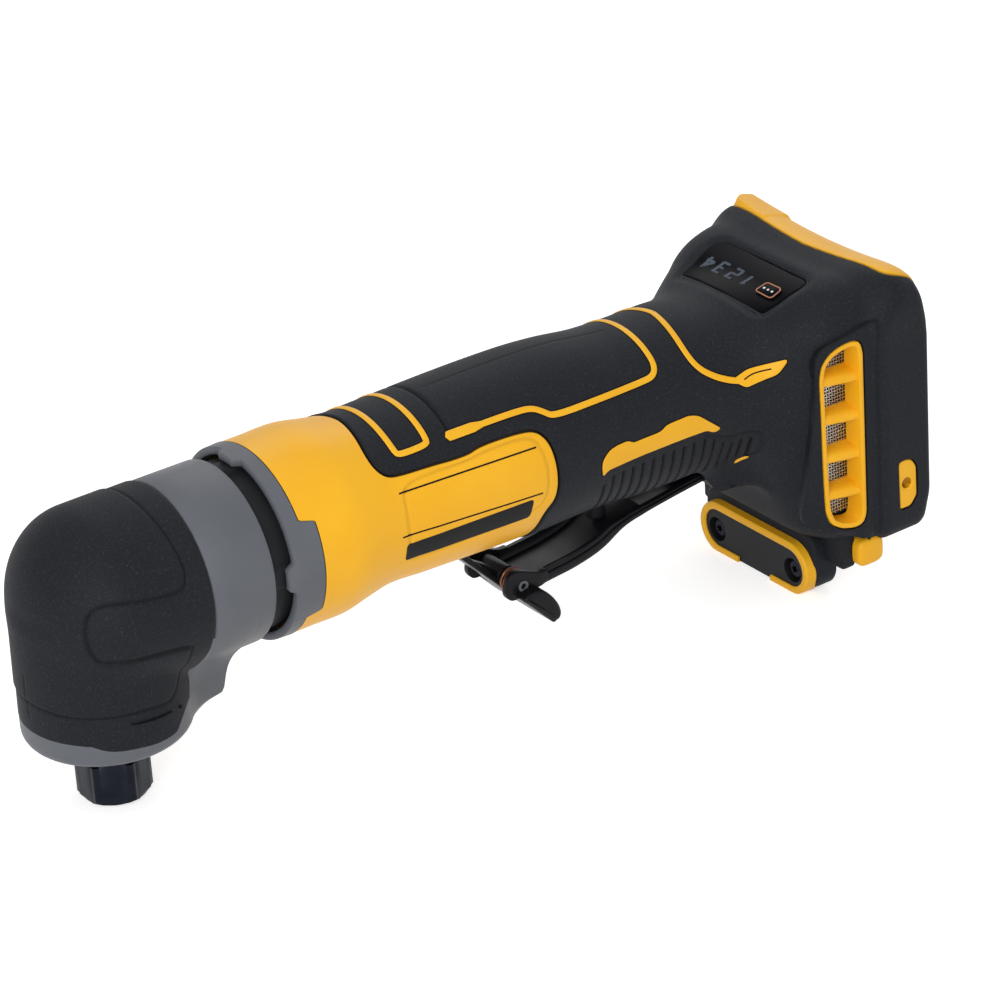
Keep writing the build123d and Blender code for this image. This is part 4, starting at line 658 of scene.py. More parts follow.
def roof_sag(y):
    """How far the roof hangs below its ends: a parabola across the tool."""
    return ROOF_SAG * np.maximum(1 - (y / ROOF_SAG_HALF) ** 2, 0)


def roof_form(p):
    """Roof of the foot and flange: it sags in the middle and falls away more and more towards the rear."""
    x, y, z = axes(p)
    return z - FLANGE_TOP + roof_sag(y) + ROOF_FALL * np.maximum(x - ROOF_LEVEL_X, 0) ** 2


def foot_form(p):
    """Box of planes, each pair met with a rounded edge: front, slanted chin, display slope, roof, sides."""
    x, y, z = axes(p)
    chin = ((FOOT_FRONT_X - x) * 26.0 + (-29.0 - z) * (CHIN_X - FOOT_FRONT_X)) / math.hypot(26.0, 11.0)
    run, rise = np.subtract(DISPLAY_REAR, DISPLAY_FRONT)
    slope = ((z - DISPLAY_FRONT[1]) * run - (x - DISPLAY_FRONT[0]) * rise) / math.hypot(run, rise)
    value = smooth_max(FOOT_FRONT_X - x, chin, 12.0)
    value = smooth_max(value, smooth_max(slope, roof_form(p), 4.0), 9.0)
    value = smooth_max(value, np.abs(y) - curve(FOOT_SIDE, x), 17.5)
    return smooth_max(value, FOOT_BOTTOM - z, 6.0)


def flange_form(p):
    """Upright block round the battery channel; its front leans back near the top."""
    x, y, z = axes(p)
    value = smooth_max(np.abs(y) - FLANGE_HALF, roof_form(p), 8.0 + 6.0 * ease(253, 264, x))
    value = smooth_max(value, FLANGE_BOTTOM - z, 6.0)
    lean = ease(10, 29, z)
    return smooth_max(value, FLANGE_X + 6.0 * lean - x, 3.5 + 6.0 * lean)


def lug_form(p):
    """Rounded block under the front of the foot, which holds the lever's pivot."""
    x, y, z = axes(p)
    value = smooth_max(np.abs(y) - LUG_HALF, LUG_BOTTOM - z, 3.0)
    value = smooth_max(value, LUG_FRONT_X - x, 4.0)
    return np.maximum(value, np.maximum(x - 240.0, z + 12.0))


def body_form(p):
    """Handle, foot, lug and flange run into one another with fillets, less the lever's shallow groove.

    The upper rear edge and the lower rear corner roll over further than the sides.
    """
    x, y, z = axes(p)
    value = smooth_min(handle_form(p), foot_form(p), 13.0)
    value = smooth_min(value, lug_form(p), 7.0)
    value = smooth_min(value, flange_form(p), 3.0 + 5.0 * ease(5, 20, z))
    value = smooth_max(value, x - REAR_X - 0.35, 2.4 + 2.5 * ease(6, 18, z) + 3.0 * ease(-44, -52, z))
    front, rear, half, top = LEVER_GROOVE
    room = np.maximum(np.maximum(front - x, x - rear), np.maximum(np.abs(y) - half, z - top))
    return smooth_max(value, -room, 1.0)


def reach(form, origin, heading, near, far):
    """Points where rays first leave a form: walked in even steps, then the last step is halved repeatedly."""
    low = np.full(heading.shape[:-1], float(near))
    high = np.full(heading.shape[:-1], float(far))
    found = np.zeros(heading.shape[:-1], bool)
    for distance in np.linspace(near, far, 48)[1:]:
        outside = form(origin + distance * heading) > 0
        high = np.where(outside & ~found, distance, high)
        found |= outside
        low = np.where(found, low, distance)
    for _ in range(22):
        middle = (low + high) / 2
        outside = form(origin + middle[..., None] * heading) > 0
        high = np.where(outside, middle, high)
        low = np.where(outside, low, middle)
    return origin + low[..., None] * heading


def form_normal(form, p):
    """Unit slope of a form, from differences over a short step."""
    e = np.eye(3) * SLOPE_STEP
    slope = np.stack([form(p + e[k]) - form(p - e[k]) for k in range(3)], -1)
    return slope / np.linalg.norm(slope, axis=-1, keepdims=True)


def on_body(x, angle):
    """Points of the handle and foot at a place along the axis and an angle round it."""
    x, angle = np.broadcast_arrays(np.asarray(x, float), np.radians(np.asarray(angle, float)))
    heading = np.stack([np.zeros_like(x), -np.sin(angle), np.cos(angle)], -1)
    origin = np.stack([x, np.zeros_like(x), np.zeros_like(x)], -1)
    return reach(body_form, origin, heading, 4.0, 96.0)


UNROLL = math.radians(26.5)


def unrolled(places):
    """(x, angle) places as (x, arc length) on a cylinder of the handle's mean size."""
    return np.asarray(places, float) * (1, UNROLL)


def rolled(line):
    return np.asarray(line, float) / (1, UNROLL)


def body_path(places):
    """A softened line of (x, angle) places on the skin: points, directions across it and normals."""
    line = rolled(resample(soften(unrolled(places)), 0.8))
    points = on_body(line[:, 0], line[:, 1])
    up = form_normal(body_form, points)
    across = np.cross(up, directions(points))
    across /= np.linalg.norm(across, axis=1, keepdims=True)
    return points, across, up


# Lines on the left side, as (x, angle) places; the right side is their mirror image

BORDER = (
    (84.8, 0), (84.6, 7), (83.6, 22.8), (82.6, 35), (83, 45), (85.2, 52), (88.7, 54.5), (101.5, 56),
    (107, 57.2),
    (113, 57.5), (116, 55.9), (121, 55.5), (131, 56.5), (136.4, 59), (139.4, 68), (140.6, 82), (141, 100),
    (140.2, 111), (137.4, 118), (136.6, 130), (136.5, 180))
GRIP_LINE = (
    (108, 43), (119, 43.4), (133, 44), (138, 45.5), (141, 50.5), (143.4, 55), (161, 55), (177, 54.4),
    (181.2, 53.6),
    (183.4, 47.6), (183.8, 34), (183.7, 0))
FOOT_LINE = ((197, 0), (195.5, 28), (195, 46.7), (196.5, 59.3), (200.7, 68.5), (206, 75.1), (209, 77.0))
FOOT_BAR = ((206, 75.1), (211.9, 71.3), (223, 71.6), (219.4, 78.6), (210.4, 82.6))
FOOT_BAR_GROOVE = ((210.1, 76.9), (213, 74.6), (218.2, 74.7))
LUG_BEAD = ((211.8, 146), (215.4, 139.6))
LABEL_FRAME = ((91.2, 0), (91.2, 40), (92.2, 43), (101.4, 43), (102.4, 40), (102.4, 0))
PAD_SEAM = ((110, 0), (110, 40))
BADGE = (
    (157.2, 107.4), (156.6, 100), (156.8, 94.5), (159.2, 89.6), (161.6, 88.2), (166.6, 88.1),
    (168.6, 91.2), (178.8, 91.5),
    (181.4, 88.3), (189.8, 88.0), (193, 90.6), (201.6, 106.8), (199, 108.2), (196.2, 104.4), (158.9, 103.8))
PLATE_BAR = ((87.6, 113.8), (87.5, 100.6), (132, 102.6), (131.4, 117))
PLATE_LINES = (((87.4, 65.2), (134.6, 68.9)), ((86, 93.6), (135.1, 100.6)))
PANEL_CONTOUR = (
    (88.5, 70), (90, 62.5), (96, 60), (112, 61.4), (119, 59.6), (130, 60.2), (134.6, 63), (136.6, 72),
    (137.6, 90),
    (136.8, 106), (133.6, 114), (92, 117), (88.5, 112))

RUBBER_LIFT = 0.45
RIB_XS = np.array((
    158.4, 161.8, 165.6, 169.4, 173.1, 177.0, 180.7, 184.6, 188.4, 192.2, 196.15, 199.7, 203.3, 206.8,
    209.8, 212.7))
RIB_FRAME = (
    (196, 108.5), (201, 112), (205.4, 117.5), (213.8, 115.4), (216, 116.4), (216.6, 123.9), (216.8, 134),
    (214.5, 139.5))
VENT_LINE = (
    (229.9, -31.7), (229.2, 3.2), (230, 7.3), (232.5, 10.4), (235.9, 12.2), (240.4, 13.1), (243.3, 12.3),
    (244.4, 8.6),
    (244.4, -45), (243.3, -48.3), (240.4, -49.3), (235.8, -48.4), (232, -46), (230.4, -41.6))
VENT_BARS = (0.6, -12.1, -24.8, -37.2)
PANEL_LINE = (
    (227.6, -42.6), (227.6, 6.4), (229.6, 11), (232.4, 13.4), (240, 15.4), (250.5, 17.8), (256, 17.8),
    (256, -58),
    (248.6, -54.6), (236.8, -50.4), (230, -46.4))
WINDOW_LINE = (
    (255.6, -31.8), (258.8, -31.7), (260.9, -32.4), (262.6, -35.1), (262.7, -44.9), (260.2, -47.9),
    (255.9, -47.9))
TETHER_HOLE = (258.9, -39.8, 1.8)
CHANNEL_X = 253.0
CHANNEL_HALF = 34.0
LIP_HALF = 30.0
LIP_X = 262.5
CHANNEL_TOP = 19.0
STRIP_X = 254.5
STRIP_HALF = {"left": 36.4, "right": 38.6}
PANEL_HIGHEST = {"left": 4.0, "right": 0.8}
HUMP_RISE = 2.3
HUMP_FALL = 0.012
SCREW_HOLE_R = 3.4
DISPLAY_BAND = 6.0
STRIP_ANGLE = 57.0
SCREW_SPOTS = ((108.0, -13.0), (148.0, -14.0), (203.0, -15.0), (214.0, 9.0), (238.0, 12.0))


def skin_grid(rows, columns):
    """The left half of the body's surface as a skin over (x, angle)."""
    x, angle = np.meshgrid(rows, columns, indexing="ij")
    return grid_skin(on_body(x, angle), x, angle, flip=True)


def border_distance(uv):
    """Distance from the line between yellow and rubber: positive on the rubber."""
    line = rolled(resample(soften(unrolled(BORDER)), 1.0))
    outline = np.concatenate(
        [unrolled(line), unrolled([(136.5, 195), (400, 195), (400, -15), (84.8, -15)])])
    return outline_distance(unrolled(uv), outline)


def rib_depth(uv):
    """Thin grooves across the lower grip, curved back as they run down, and the line behind them."""
    x, angle = uv[:, 0], uv[:, 1]
    down = angle - 110
    lean = x - 0.04 * down - 0.0006 * down * np.abs(down)
    nearest = np.abs(lean[:, None] - RIB_XS[None]).min(1)
    trough = np.exp(-(nearest / 0.42) ** 2)
    head = np.interp(
        x, (155, 158.6, 161.8, 196, 199.9, 203.8, 207.5, 213.2),
        (117, 115, 109.8, 110.8, 114, 119.6, 122.6, 120))
    tail = np.interp(x, (200, 206, 214), (152, 143, 136))
    ends = ease(head, head + 1.6, angle) * (1 - ease(tail, tail + 5, angle))
    ends = ends * ease(157, 157.6, x) * (1 - ease(215, 216, x))
    frame_line = np.exp(-(line_distance(unrolled(uv), soften(unrolled(RIB_FRAME), 2)) / 0.5) ** 2)
    return np.maximum(trough * ends, 0.45 * frame_line)


def side_plane(x):
    """Half width of the flat field round the vent."""
    return np.interp(x, *np.transpose(SIDE_PLANE))


def panel_field(p, highest):
    """Flat field round the vent that stands up from the skin, and lines of painted shade along its edge and
    at the flange's crease.
    """
    x, y, z = axes(p)
    d = outline_distance(p[:, [0, 2]], soften(PANEL_LINE, 2, True))
    here = ease(24, 30, -y) * (1 - ease(248.8, 250.3, x))
    line = np.exp(-(d / 0.45) ** 2) * here * ease(-10, 0, z)
    crease = np.exp(-((x - 249.2) / 0.5) ** 2) * (y < -30) * (z < 18)
    stand = np.clip(side_plane(x) + y, 0.6, highest)
    return ease(-0.5, 0.5, d) * here * stand, np.maximum(line, 0.6 * crease)


def display_place(points):
    """(distance up the slope from its middle, y, height above it) of points at the display."""
    middle = (np.asarray(DISPLAY_FRONT) + DISPLAY_REAR) / 2
    run = np.subtract(DISPLAY_REAR, DISPLAY_FRONT)
    run = run / np.linalg.norm(run)
    flat = points[:, [0, 2]] - middle
    return np.stack([flat @ run, points[:, 1], flat @ np.array([-run[1], run[0]])], 1)


def from_display(u, v, h):
    """Points from (up the slope, y, height) at the display."""
    middle = (np.asarray(DISPLAY_FRONT) + DISPLAY_REAR) / 2
    run = np.subtract(DISPLAY_REAR, DISPLAY_FRONT)
    run = run / np.linalg.norm(run)
    return np.stack([middle[0] + u * run[0] - h * run[1], v, middle[1] + u * run[1] + h * run[0]], -1)


def display_up():
    """Direction out of the display."""
    return from_display(0.0, 0.0, 1.0) - from_display(0.0, 0.0, 0.0)


def display_frame(path, closed=False):
    """Directions across a line on the display, and up from it."""
    up = np.broadcast_to(display_up(), path.shape)
    return np.cross(up, directions(path, closed)), up


def lens_outline(grow=0.0):
    """Display outline: wider behind, its rear corners rounder than the front ones."""
    front, rear = -8.6 - grow, 10.2 + grow
    corners = np.array(
        ((front, -18.8 - grow), (rear, -21.6 - grow), (rear, 23.6 + grow), (front, 20.8 + grow)))
    corners[:, 0] += 0.03 * corners[:, 1]
    rear_round = np.concatenate(
        [rounded(corners, 5.2)[6:18], rounded(corners, 2.6)[18:], rounded(corners, 2.6)[:6]])
    return resample(rear_round, 0.6, True)


def on_display(u, v, h):
    """Points from (up the slope, y, height) at the display, the height counted from the body's skin."""
    up = display_up()
    start = from_display(u, v, -12.0)
    skin = reach(body_form, start, np.broadcast_to(up, start.shape), 0.0, 24.0)
    return skin + np.asarray(h)[..., None] * up


def rounded(corners, cut, count=6):
    """Closed outline, each corner swapped for a parabola arc whose ends stand back from it by at most cut."""
    line = np.asarray(corners, float)
    ends = []
    for step in (1, -1):
        run = np.roll(line, step, 0) - line
        length = np.linalg.norm(run, axis=1, keepdims=True)
        ends.append(line + run / length * np.minimum(cut, 0.45 * length))
    t = np.linspace(0, 1, count)[None, :, None]
    arcs = (1 - t) ** 2 * ends[0][:, None] + 2 * t * (1 - t) * line[:, None] + t**2 * ends[1][:, None]
    return arcs.reshape(-1, 2)


def inset_line(line, inset, spacing=0.7, cut=1.6):
    """Closed outline in a plane with rounded corners, drawn in by an even distance."""
    outline = resample(rounded(line, cut), spacing, True)
    return outline - inset * outline_normals(outline)


def strip_distance(p, half):
    """Positive on the yellow strip over the flange's upper edge, which has rounded corners."""
    inside = smooth_min(p[:, 0] - STRIP_X - 0.06 * np.abs(p[:, 1]), half - np.abs(p[:, 1]), 5.0)
    return np.minimum(inside, p[:, 2] - 17.0)


def channel_distance(p):
    """Positive on the skin that the battery channel leaves open below."""
    half = np.where(p[:, 0] > LIP_X, LIP_HALF, CHANNEL_HALF)
    return np.minimum(np.minimum(p[:, 0] - CHANNEL_X, half - np.abs(p[:, 1])), -50.0 - p[:, 2])


def side_hole(skin, outline, side_y):
    """Skin with a hole along an outline in side view, on the side beyond a y value."""
    away = -outline_distance(skin.xyz[:, [0, 2]], outline)
    return skin.keep(np.where(skin.xyz[:, 1] < side_y, away, FAR))


def screw_hole(skin, spot):
    """Skin with a round hole over a housing screw."""
    away = np.hypot(skin.xyz[:, 0] - spot[0], skin.xyz[:, 2] - spot[1]) - SCREW_HOLE_R
    return skin.keep(np.where(skin.xyz[:, 1] < -10, away, FAR))


def rubber_skin(side):
    """Overmould of one side, drawn on the left: the skin behind the border, with walls at its holes.

    It is ribbed below and raised round the vent; rib troughs, the pad seam, the middle line and the panel's
    edge lines get painted shade, and the walls at its holes are painted dark.
    """
    rows = np.concatenate([
        np.arange(81.5, 156, 0.75), np.arange(156, 217, 0.27), np.arange(217, 248, 0.6),
        np.arange(248, 252.5, 0.35), np.arange(252.5, 261, 0.8), np.linspace(261, REAR_X, 14)])
    columns = np.concatenate(
        [np.linspace(0, 54, 42)[:-1], np.linspace(54, 74, 40)[:-1], np.linspace(74, 180, 94)])
    skin = skin_grid(rows, columns)
    p = skin.xyz
    ribs = rib_depth(skin.uv)
    seam = line_distance(unrolled(skin.uv), unrolled(PAD_SEAM))
    seam = np.exp(-(seam / 0.55) ** 2)
    middle = np.exp(-(p[:, 1] / 0.5) ** 2) * ease(112, 115, p[:, 0])
    middle = middle * (1 - ease(178, 181, p[:, 0])) * (p[:, 2] > 0)
    place = display_place(p)
    near = outline_distance(place[:, :2], lens_outline())
    slope = np.where(np.abs(place[:, 2]) < DISPLAY_BAND, 1 - ease(0.3, 3.4, -near), 0)
    field, edge_line = panel_field(p, PANEL_HIGHEST[side])
    lift = RUBBER_LIFT - 0.85 * ribs - 0.7 * seam - 0.2 * middle + field - 0.3 * edge_line - 0.8 * slope
    # Painted shade in the rib troughs, pad seam, middle line and the panel's edge lines.
    skin.table[:, 5] = np.clip(0.9 * ribs + 0.85 * seam + 0.45 * middle + 0.9 * edge_line, 0, 1)
    skin.table[:, :3] = p + form_normal(body_form, p) * lift[:, None]
    skin = skin.keep(border_distance(skin.uv) - 1.1)
    skin = side_hole(skin, inset_line(VENT_LINE, -0.25), -20)
    place = display_place(skin.xyz)
    lens = outline_distance(place[:, :2], lens_outline(0.9))
    skin = skin.keep(np.where(np.abs(place[:, 2]) < DISPLAY_BAND, -lens, FAR))
    skin = side_hole(skin, inset_line(WINDOW_LINE, -0.3, 0.5, 1.0), -30)
    skin = skin.keep(-0.35 - strip_distance(skin.xyz, STRIP_HALF[side]))
    skin = skin.keep(-channel_distance(skin.xyz))
    if side == "right":
        for spot in SCREW_SPOTS:
            skin = screw_hole(skin, spot)
    open_edge = (skin.xyz[:, 1] < -0.05) & (border_distance(skin.uv) > 1.4)
    open_edge = open_edge & (skin.uv[:, 0] < REAR_X - 0.05)
    return [skin.part(), skin.skirt(1.3, open_edge)]


def rubber_rims():
    """Rolled edges of the overmould along the yellow panel and round the display, painted dark with shade
    where they turn down.
    """
    points, across, up = body_path(BORDER)
    profile = (
        (0.16, -1.0), (0.18, -0.3), (0.3, 0.12), (0.6, 0.38), (1.1, RUBBER_LIFT),
        (1.7, RUBBER_LIFT + 0.005))
    # Painted shade, darkest at the foot of the rolled edge.
    shade = (1, 1, 0.5, 0.1, 0, 0)
    rims = [sweep(points, across, up, profile, groove=shade)]
    outline = resample(lens_outline(0.12), 0.7, True)
    path = on_display(outline[:, 0], outline[:, 1], 0.0)
    across, up = display_frame(path, True)
    profile = ((0.0, -2.0), (0.0, -0.7), (-0.12, -0.5), (-0.4, -0.38), (-1.0, -0.3))
    rims.append(turned_over(sweep(path, across, up, profile, closed=True, groove=(1, 0.7, 0.2, 0, 0))))
    return rims


def shadow_strip(places, half_width, height=RUBBER_LIFT + 0.05, width=None):
    """Thin band of painted shadow under a yellow line, a little wider than it; also drawn as a plain dark
    line on its own.
    """
    points, across, up = body_path(places)
    profile = (
        (-half_width, height - 0.3), (-half_width, height), (half_width, height),
        (half_width, height - 0.3))
    return sweep(points, across, up, profile, groove=1.0, width=width)


def bead(places, half_width, low, high, width=None):
    """Raised line: flat top with rounded shoulders, its ends drawn to a point."""
    points, across, up = body_path(places)
    w = half_width
    profile = ((-w, low), (-w, high - 0.22), (-w + 0.12, high - 0.07), (-w + 0.35, high), (w - 0.35, high),
               (w - 0.12, high - 0.07), (w, high - 0.22), (w, low))
    return sweep(points, across, up, profile, width=width)


def line_width(places, table, ends=(True, True)):
    """Width factor along a line: interpolated over x, and run out to nothing at an open end."""
    points, _, _ = body_path(places)
    run = np.concatenate([[0], np.cumsum(np.linalg.norm(np.diff(points, axis=0), axis=1))])
    factor = np.interp(points[:, 0], *np.transpose(table))
    for open_end, distance in zip(ends, (run, run[-1] - run)):
        if open_end:
            t = np.clip(distance / 1.1, 0, 1)
            factor = factor * np.sqrt(np.clip(1 - (1 - t) ** 2, 0.0004, 1))
    return factor


def skin_plate(places, high, grow=0.0, groove=0.0, cut=1.2):
    """Thin plate on the left side: the skin inside a closed line of (x, angle) places, lifted off it.

    A plate without groove shade is rounded down along its edge.
    """
    outline = inset_line(unrolled(places), -grow, 0.5, cut)
    low, top = rolled(outline).min(0) - 0.8, rolled(outline).max(0) + 0.8
    skin = skin_grid(np.arange(low[0], top[0], 0.4), np.arange(low[1], top[1], 0.8))
    inside = outline_distance(unrolled(skin.uv), outline)
    fall = 0.2 * (1 - shoulder(inside, 0.35)) * (groove == 0)
    skin.table[:, :3] = skin.xyz + form_normal(body_form, skin.xyz) * (high - fall)[:, None]
    skin.table[:, 5] = groove
    skin = skin.keep(inside)
    return [skin.part(), skin.skirt(0.6, None, groove)]


def piping():
    """Yellow lines, label frame and plain badge on the left overmould, and the bands and plates of painted
    shadow under them.
    """
    top = RUBBER_LIFT + 0.28
    yellow, dark = [], []
    for places, table, ends in (
            (GRIP_LINE, ((108, 1.62), (117.5, 1.62), (120.5, 1.0), (400, 1.0)), (True, False)),
            (FOOT_LINE, ((0, 1.0), (400, 1.0)), (False, False)),
            (LUG_BEAD, ((0, 0.7), (400, 0.7)), (True, True)),
            (LABEL_FRAME, ((0, 1.0), (400, 1.0)), (False, False))):
        factor = line_width(places, table, ends)
        yellow.append(bead(places, 0.95, 0.2, top, width=factor))
        dark.append(shadow_strip(places, 0.95, width=factor + 0.4))
    for places in (BADGE, FOOT_BAR):
        yellow += skin_plate(places, top)
        # Painted shadow: dark plates a little wider than the yellow ones, under them.
        dark += skin_plate(places, RUBBER_LIFT + 0.06, 0.4, 1.0)
    # Painted shade along the foot bar's inner groove.
    dark.append(shadow_strip(FOOT_BAR_GROOVE, 0.22, top + 0.03))
    return yellow, dark


def plate_lines():
    """Plain dark bar and two fine lines on the yellow side panel."""
    lines = [shadow_strip(line, 0.26, 0.05) for line in PLATE_LINES]
    return lines + skin_plate(PLATE_BAR, 0.06, 0.0, 0.4)


def ring_rear(angle):
    """Rear edge of the deflector ring: level, with a longer tab at each side."""
    side = np.abs((np.asarray(angle) % 360) - 180)
    return 52.9 + 4.9 * ease(57, 61, side) * (1 - ease(118, 122, side))


def yellow_skin(side):
    """Left bell and side panel: the body's skin in front of the border; a fine contour line is sunk and given
    painted shade.
    """
    rows = np.concatenate([np.arange(52.0, 84, 0.75), np.arange(84, 144, 0.6)])
    skin = skin_grid(rows, np.linspace(0, 180, 181))
    contour = resample(soften(unrolled(PANEL_CONTOUR), 3, True), 1.0, True)
    fine = np.exp(-(line_distance(unrolled(skin.uv), contour, True) / 0.42) ** 2)
    skin.table[:, :3] = skin.xyz - form_normal(body_form, skin.xyz) * (0.28 * fine)[:, None]
    # Painted shade in the contour line.
    skin.table[:, 5] = 0.22 * fine
    skin = skin.keep(-border_distance(skin.uv) - 0.85)
    skin = skin.keep(skin.uv[:, 0] - ring_rear(skin.uv[:, 1]) - 0.15)
    if side == "right":
        skin = screw_hole(skin, SCREW_SPOTS[0])
    return skin


def yellow_rims():
    """Edge of the yellow panel, which rounds down into a groove beside the rubber; the groove's floor gets
    painted shade.
    """
    points, across, up = body_path(BORDER)
    profile = ((-1.35, 0.0), (-0.85, 0.0), (-0.5, -0.03), (-0.32, -0.2), (-0.26, -0.8), (1.6, -0.85))
    return [sweep(points, across, up, profile, groove=(0, 0, 0.05, 0.6, 1, 1))]


def rear_contour(angle):
    """Flange edge at the rear, and the lip and channel walls on the same rays."""
    outer = on_body(np.full_like(angle, REAR_X), angle)
    a = np.radians(angle)
    heading = np.stack([np.zeros_like(a), -np.sin(a), np.cos(a)], -1)

    def wall(half):
        with np.errstate(divide="ignore"):
            tall = np.where(heading[:, 2] > 0, CHANNEL_TOP, -FLANGE_BOTTOM)
            reaches = np.stack([half / np.abs(heading[:, 1]), tall / np.abs(heading[:, 2])])
        return heading * np.minimum(reaches.min(0), np.linalg.norm(outer[:, 1:], axis=1) - 0.05)[:, None]

    return outer, wall(LIP_HALF), wall(CHANNEL_HALF)


def rear_frame():
    """Rear face, rail lip and channel wall of the left half: contours on the same rays, joined in turn."""
    angle = np.linspace(0, 180 - math.degrees(math.atan2(LIP_HALF, -FLANGE_BOTTOM)), 140)
    outer, lip, wall = rear_contour(angle)
    depth = np.linalg.norm((lip - outer)[:, 1:], axis=1)
    rim = outer + (lip - outer) * np.minimum(2.2 / np.maximum(depth, 2.3), 1)[:, None]

    def at(points, x):
        return np.concatenate([np.full((len(points), 1), x), points[:, 1:]], 1)

    def band(rows):
        return turned_over(part(rows, grid_faces(*rows.shape[:2])))

    outer_edge = np.stack([at(outer, REAR_X), at(rim, REAR_X + 0.02), at(rim, REAR_X - 0.8)])
    frame_rows = np.stack([
        at(rim, REAR_X - 0.8), at(rim, REAR_X - 0.25), at(lip, REAR_X - 0.25),
        at(lip, LIP_X), at(wall, LIP_X), at(wall, CHANNEL_X)])
    under_strip = np.searchsorted(angle, STRIP_ANGLE)
    ys, zs = np.linspace(-CHANNEL_HALF, 0, 12), np.linspace(FLANGE_BOTTOM, CHANNEL_TOP, 24)
    y, z = np.meshgrid(ys, zs, indexing="ij")
    floor = part(np.stack([np.full_like(y, CHANNEL_X), y, z], -1), grid_faces(*y.shape))
    return band(outer_edge[:, under_strip:]), [
        band(outer_edge[:, :under_strip + 1]), band(frame_rows), floor]


def side_view(u, v, h):
    """Points from (x, height, distance to the left)."""
    return np.stack([u, -h, v], -1)


def rail_toe():
    """Rail toe below the foot, a rounded plate in side view."""
    toe = rounded(((242, -55.4), (242, -64.5), (251.9, -64.5), (251.9, -55.4)), 3.2)
    return slab(resample(toe, 0.5, True), side_view, 30.0, 38.2, 1.4)


def toe_wall(outer):
    """Dark wall between the chin and the rail toe."""
    wall = rounded(((238, -50), (238, -65), (243.5, -65), (243.5, -50)), 1.5)
    return slab(resample(wall, 0.5, True), side_view, 22.0, outer, 1.2)


def tether_window():
    """Yellow inlay in the flange with the blind tether hole in it; its edge, the hole's wall and its floor
    get painted shade.
    """
    x, z, radius = TETHER_HOLE
    depth = -FLANGE_HALF - 0.12
    u, v = np.meshgrid(np.linspace(255, 263.2, 42), np.linspace(-48.4, -31.2, 86), indexing="ij")
    face = grid_skin(np.stack([u, np.full_like(u, depth), v], -1), u, v)
    inside = outline_distance(face.uv, inset_line(WINDOW_LINE, 0.0, 0.5, 1.0))
    away = np.hypot(face.uv[:, 0] - x, face.uv[:, 1] - z) - radius
    drop = 0.5 * (1 - shoulder(inside, 0.5)) + 0.35 * (1 - ease(0, 0.6, away))
    face.table[:, 1] += drop
    # Painted shade along the inlay's edge.
    face.table[:, 5] = 0.8 * (1 - ease(0.05, 0.35, inside))
    face = face.keep(inside)
    face = face.keep(np.hypot(face.uv[:, 0] - x, face.uv[:, 1] - z) - radius)
    ring = circle((x, z), radius + 0.1, 32)
    plug = slab(ring, side_view, FLANGE_HALF - 4.2, FLANGE_HALF - 3.2, 0.1, 0.35)
    return [face.part(), face.skirt(4.0, None, 0.4), plug]


def fix_side(piece, centre):
    """Turns a part's faces so that most of them look away from a point."""
    points, faces, groove = piece
    total = 0.0
    for table in faces:
        a, b, c = (points[table[:, k]] for k in range(3))
        normal = np.cross(b - a, c - a)
        total += np.einsum("ij,ij->i", normal, a - np.asarray(centre, float)).sum()
    return piece if total > 0 else turned_over(piece)


def strip(side):
    """Yellow cap over the flange's upper rear edge: the skin lifted, rounded down along its border, with
    painted shade along that border.

    The right half carries a level block near its end, which stands up over the rounded corner.
    """
    skin = skin_grid(np.linspace(252.5, REAR_X, 54), np.linspace(0, 72, 181))
    p = skin.xyz
    d = strip_distance(p, STRIP_HALF[side])
    rise = 0.85 * shoulder(d, 1.1) - 0.1
    # Painted shade along the cap's border.
    skin.table[:, 5] = 0.9 * (1 - ease(0.05, 0.5, d))
    skin.table[:, :3] = p + form_normal(body_form, p) * rise[:, None]
    if side == "right":
        x, y, z = skin.xyz.T
        step = ease(20.2, 21.2, np.abs(y)) * ease(0.3, 1.5, d) * (1 - ease(266, REAR_X, x))
        block = FLANGE_TOP - 0.85 * roof_sag(y) + HUMP_RISE - HUMP_FALL * (x - ROOF_LEVEL_X) ** 2
        skin.table[:, 2] = z + step * np.maximum(block - z, 0)
    skin = skin.keep(d)
    return [skin.part(), skin.skirt(1.0, (skin.xyz[:, 1] < -0.05) & (skin.uv[:, 0] < REAR_X - 0.05))]


def front_view(u, v, h):
    """Points from (y, height, distance towards the head)."""
    return np.stack([-h, u, v], -1)


def bay_block():
    """Rubber chin round the chip bay: a rounded upright block under the foot."""
    return slab(box_outline(26.4, 11.0, 8.1, (0, -65.2), 12), front_view, -242.5, -234.0, 1.4)
PILL = (25.4, 8.1, -68.0)
BAY_SCREWS = ((-18.2, -68.8), (18.2, -68.8))
BAY_FACE_X = 231.85
BORE_R = 4.0


def stadium(inset, spacing=0.6):
    half, radius, z = PILL
    return resample(
        box_outline(half - inset, radius - inset, radius - inset - 0.01, (0, z), 16), spacing, True)


def bay_screw(y, z):
    """Pan head in its counterbore with a six-lobed recess: rings whose radius waves six times round; the
    recess gets painted shade.
    """
    turn = np.linspace(0, 2 * math.pi, 97)
    lobes = 1.15 + 0.28 * np.cos(6 * turn)
    rows = []
    rings = (
        (2.95, 2.05), (2.95, 1.4), (2.7, 1.1), (2.2, 0.95), (lobes, 0.93), (lobes * 0.9, 1.85),
        (0.02, 1.87))
    for r, deep in rings:
        ring = np.broadcast_arrays(BAY_FACE_X + deep, y + r * np.cos(turn), z + r * np.sin(turn))
        rows.append(np.stack(ring, 1))
    # Painted shade in the recess.
    shade = np.repeat((0, 0, 0, 0, 0.6, 1, 1), len(turn))
    return part(np.stack(rows), grid_faces(len(rows), len(turn)), shade)


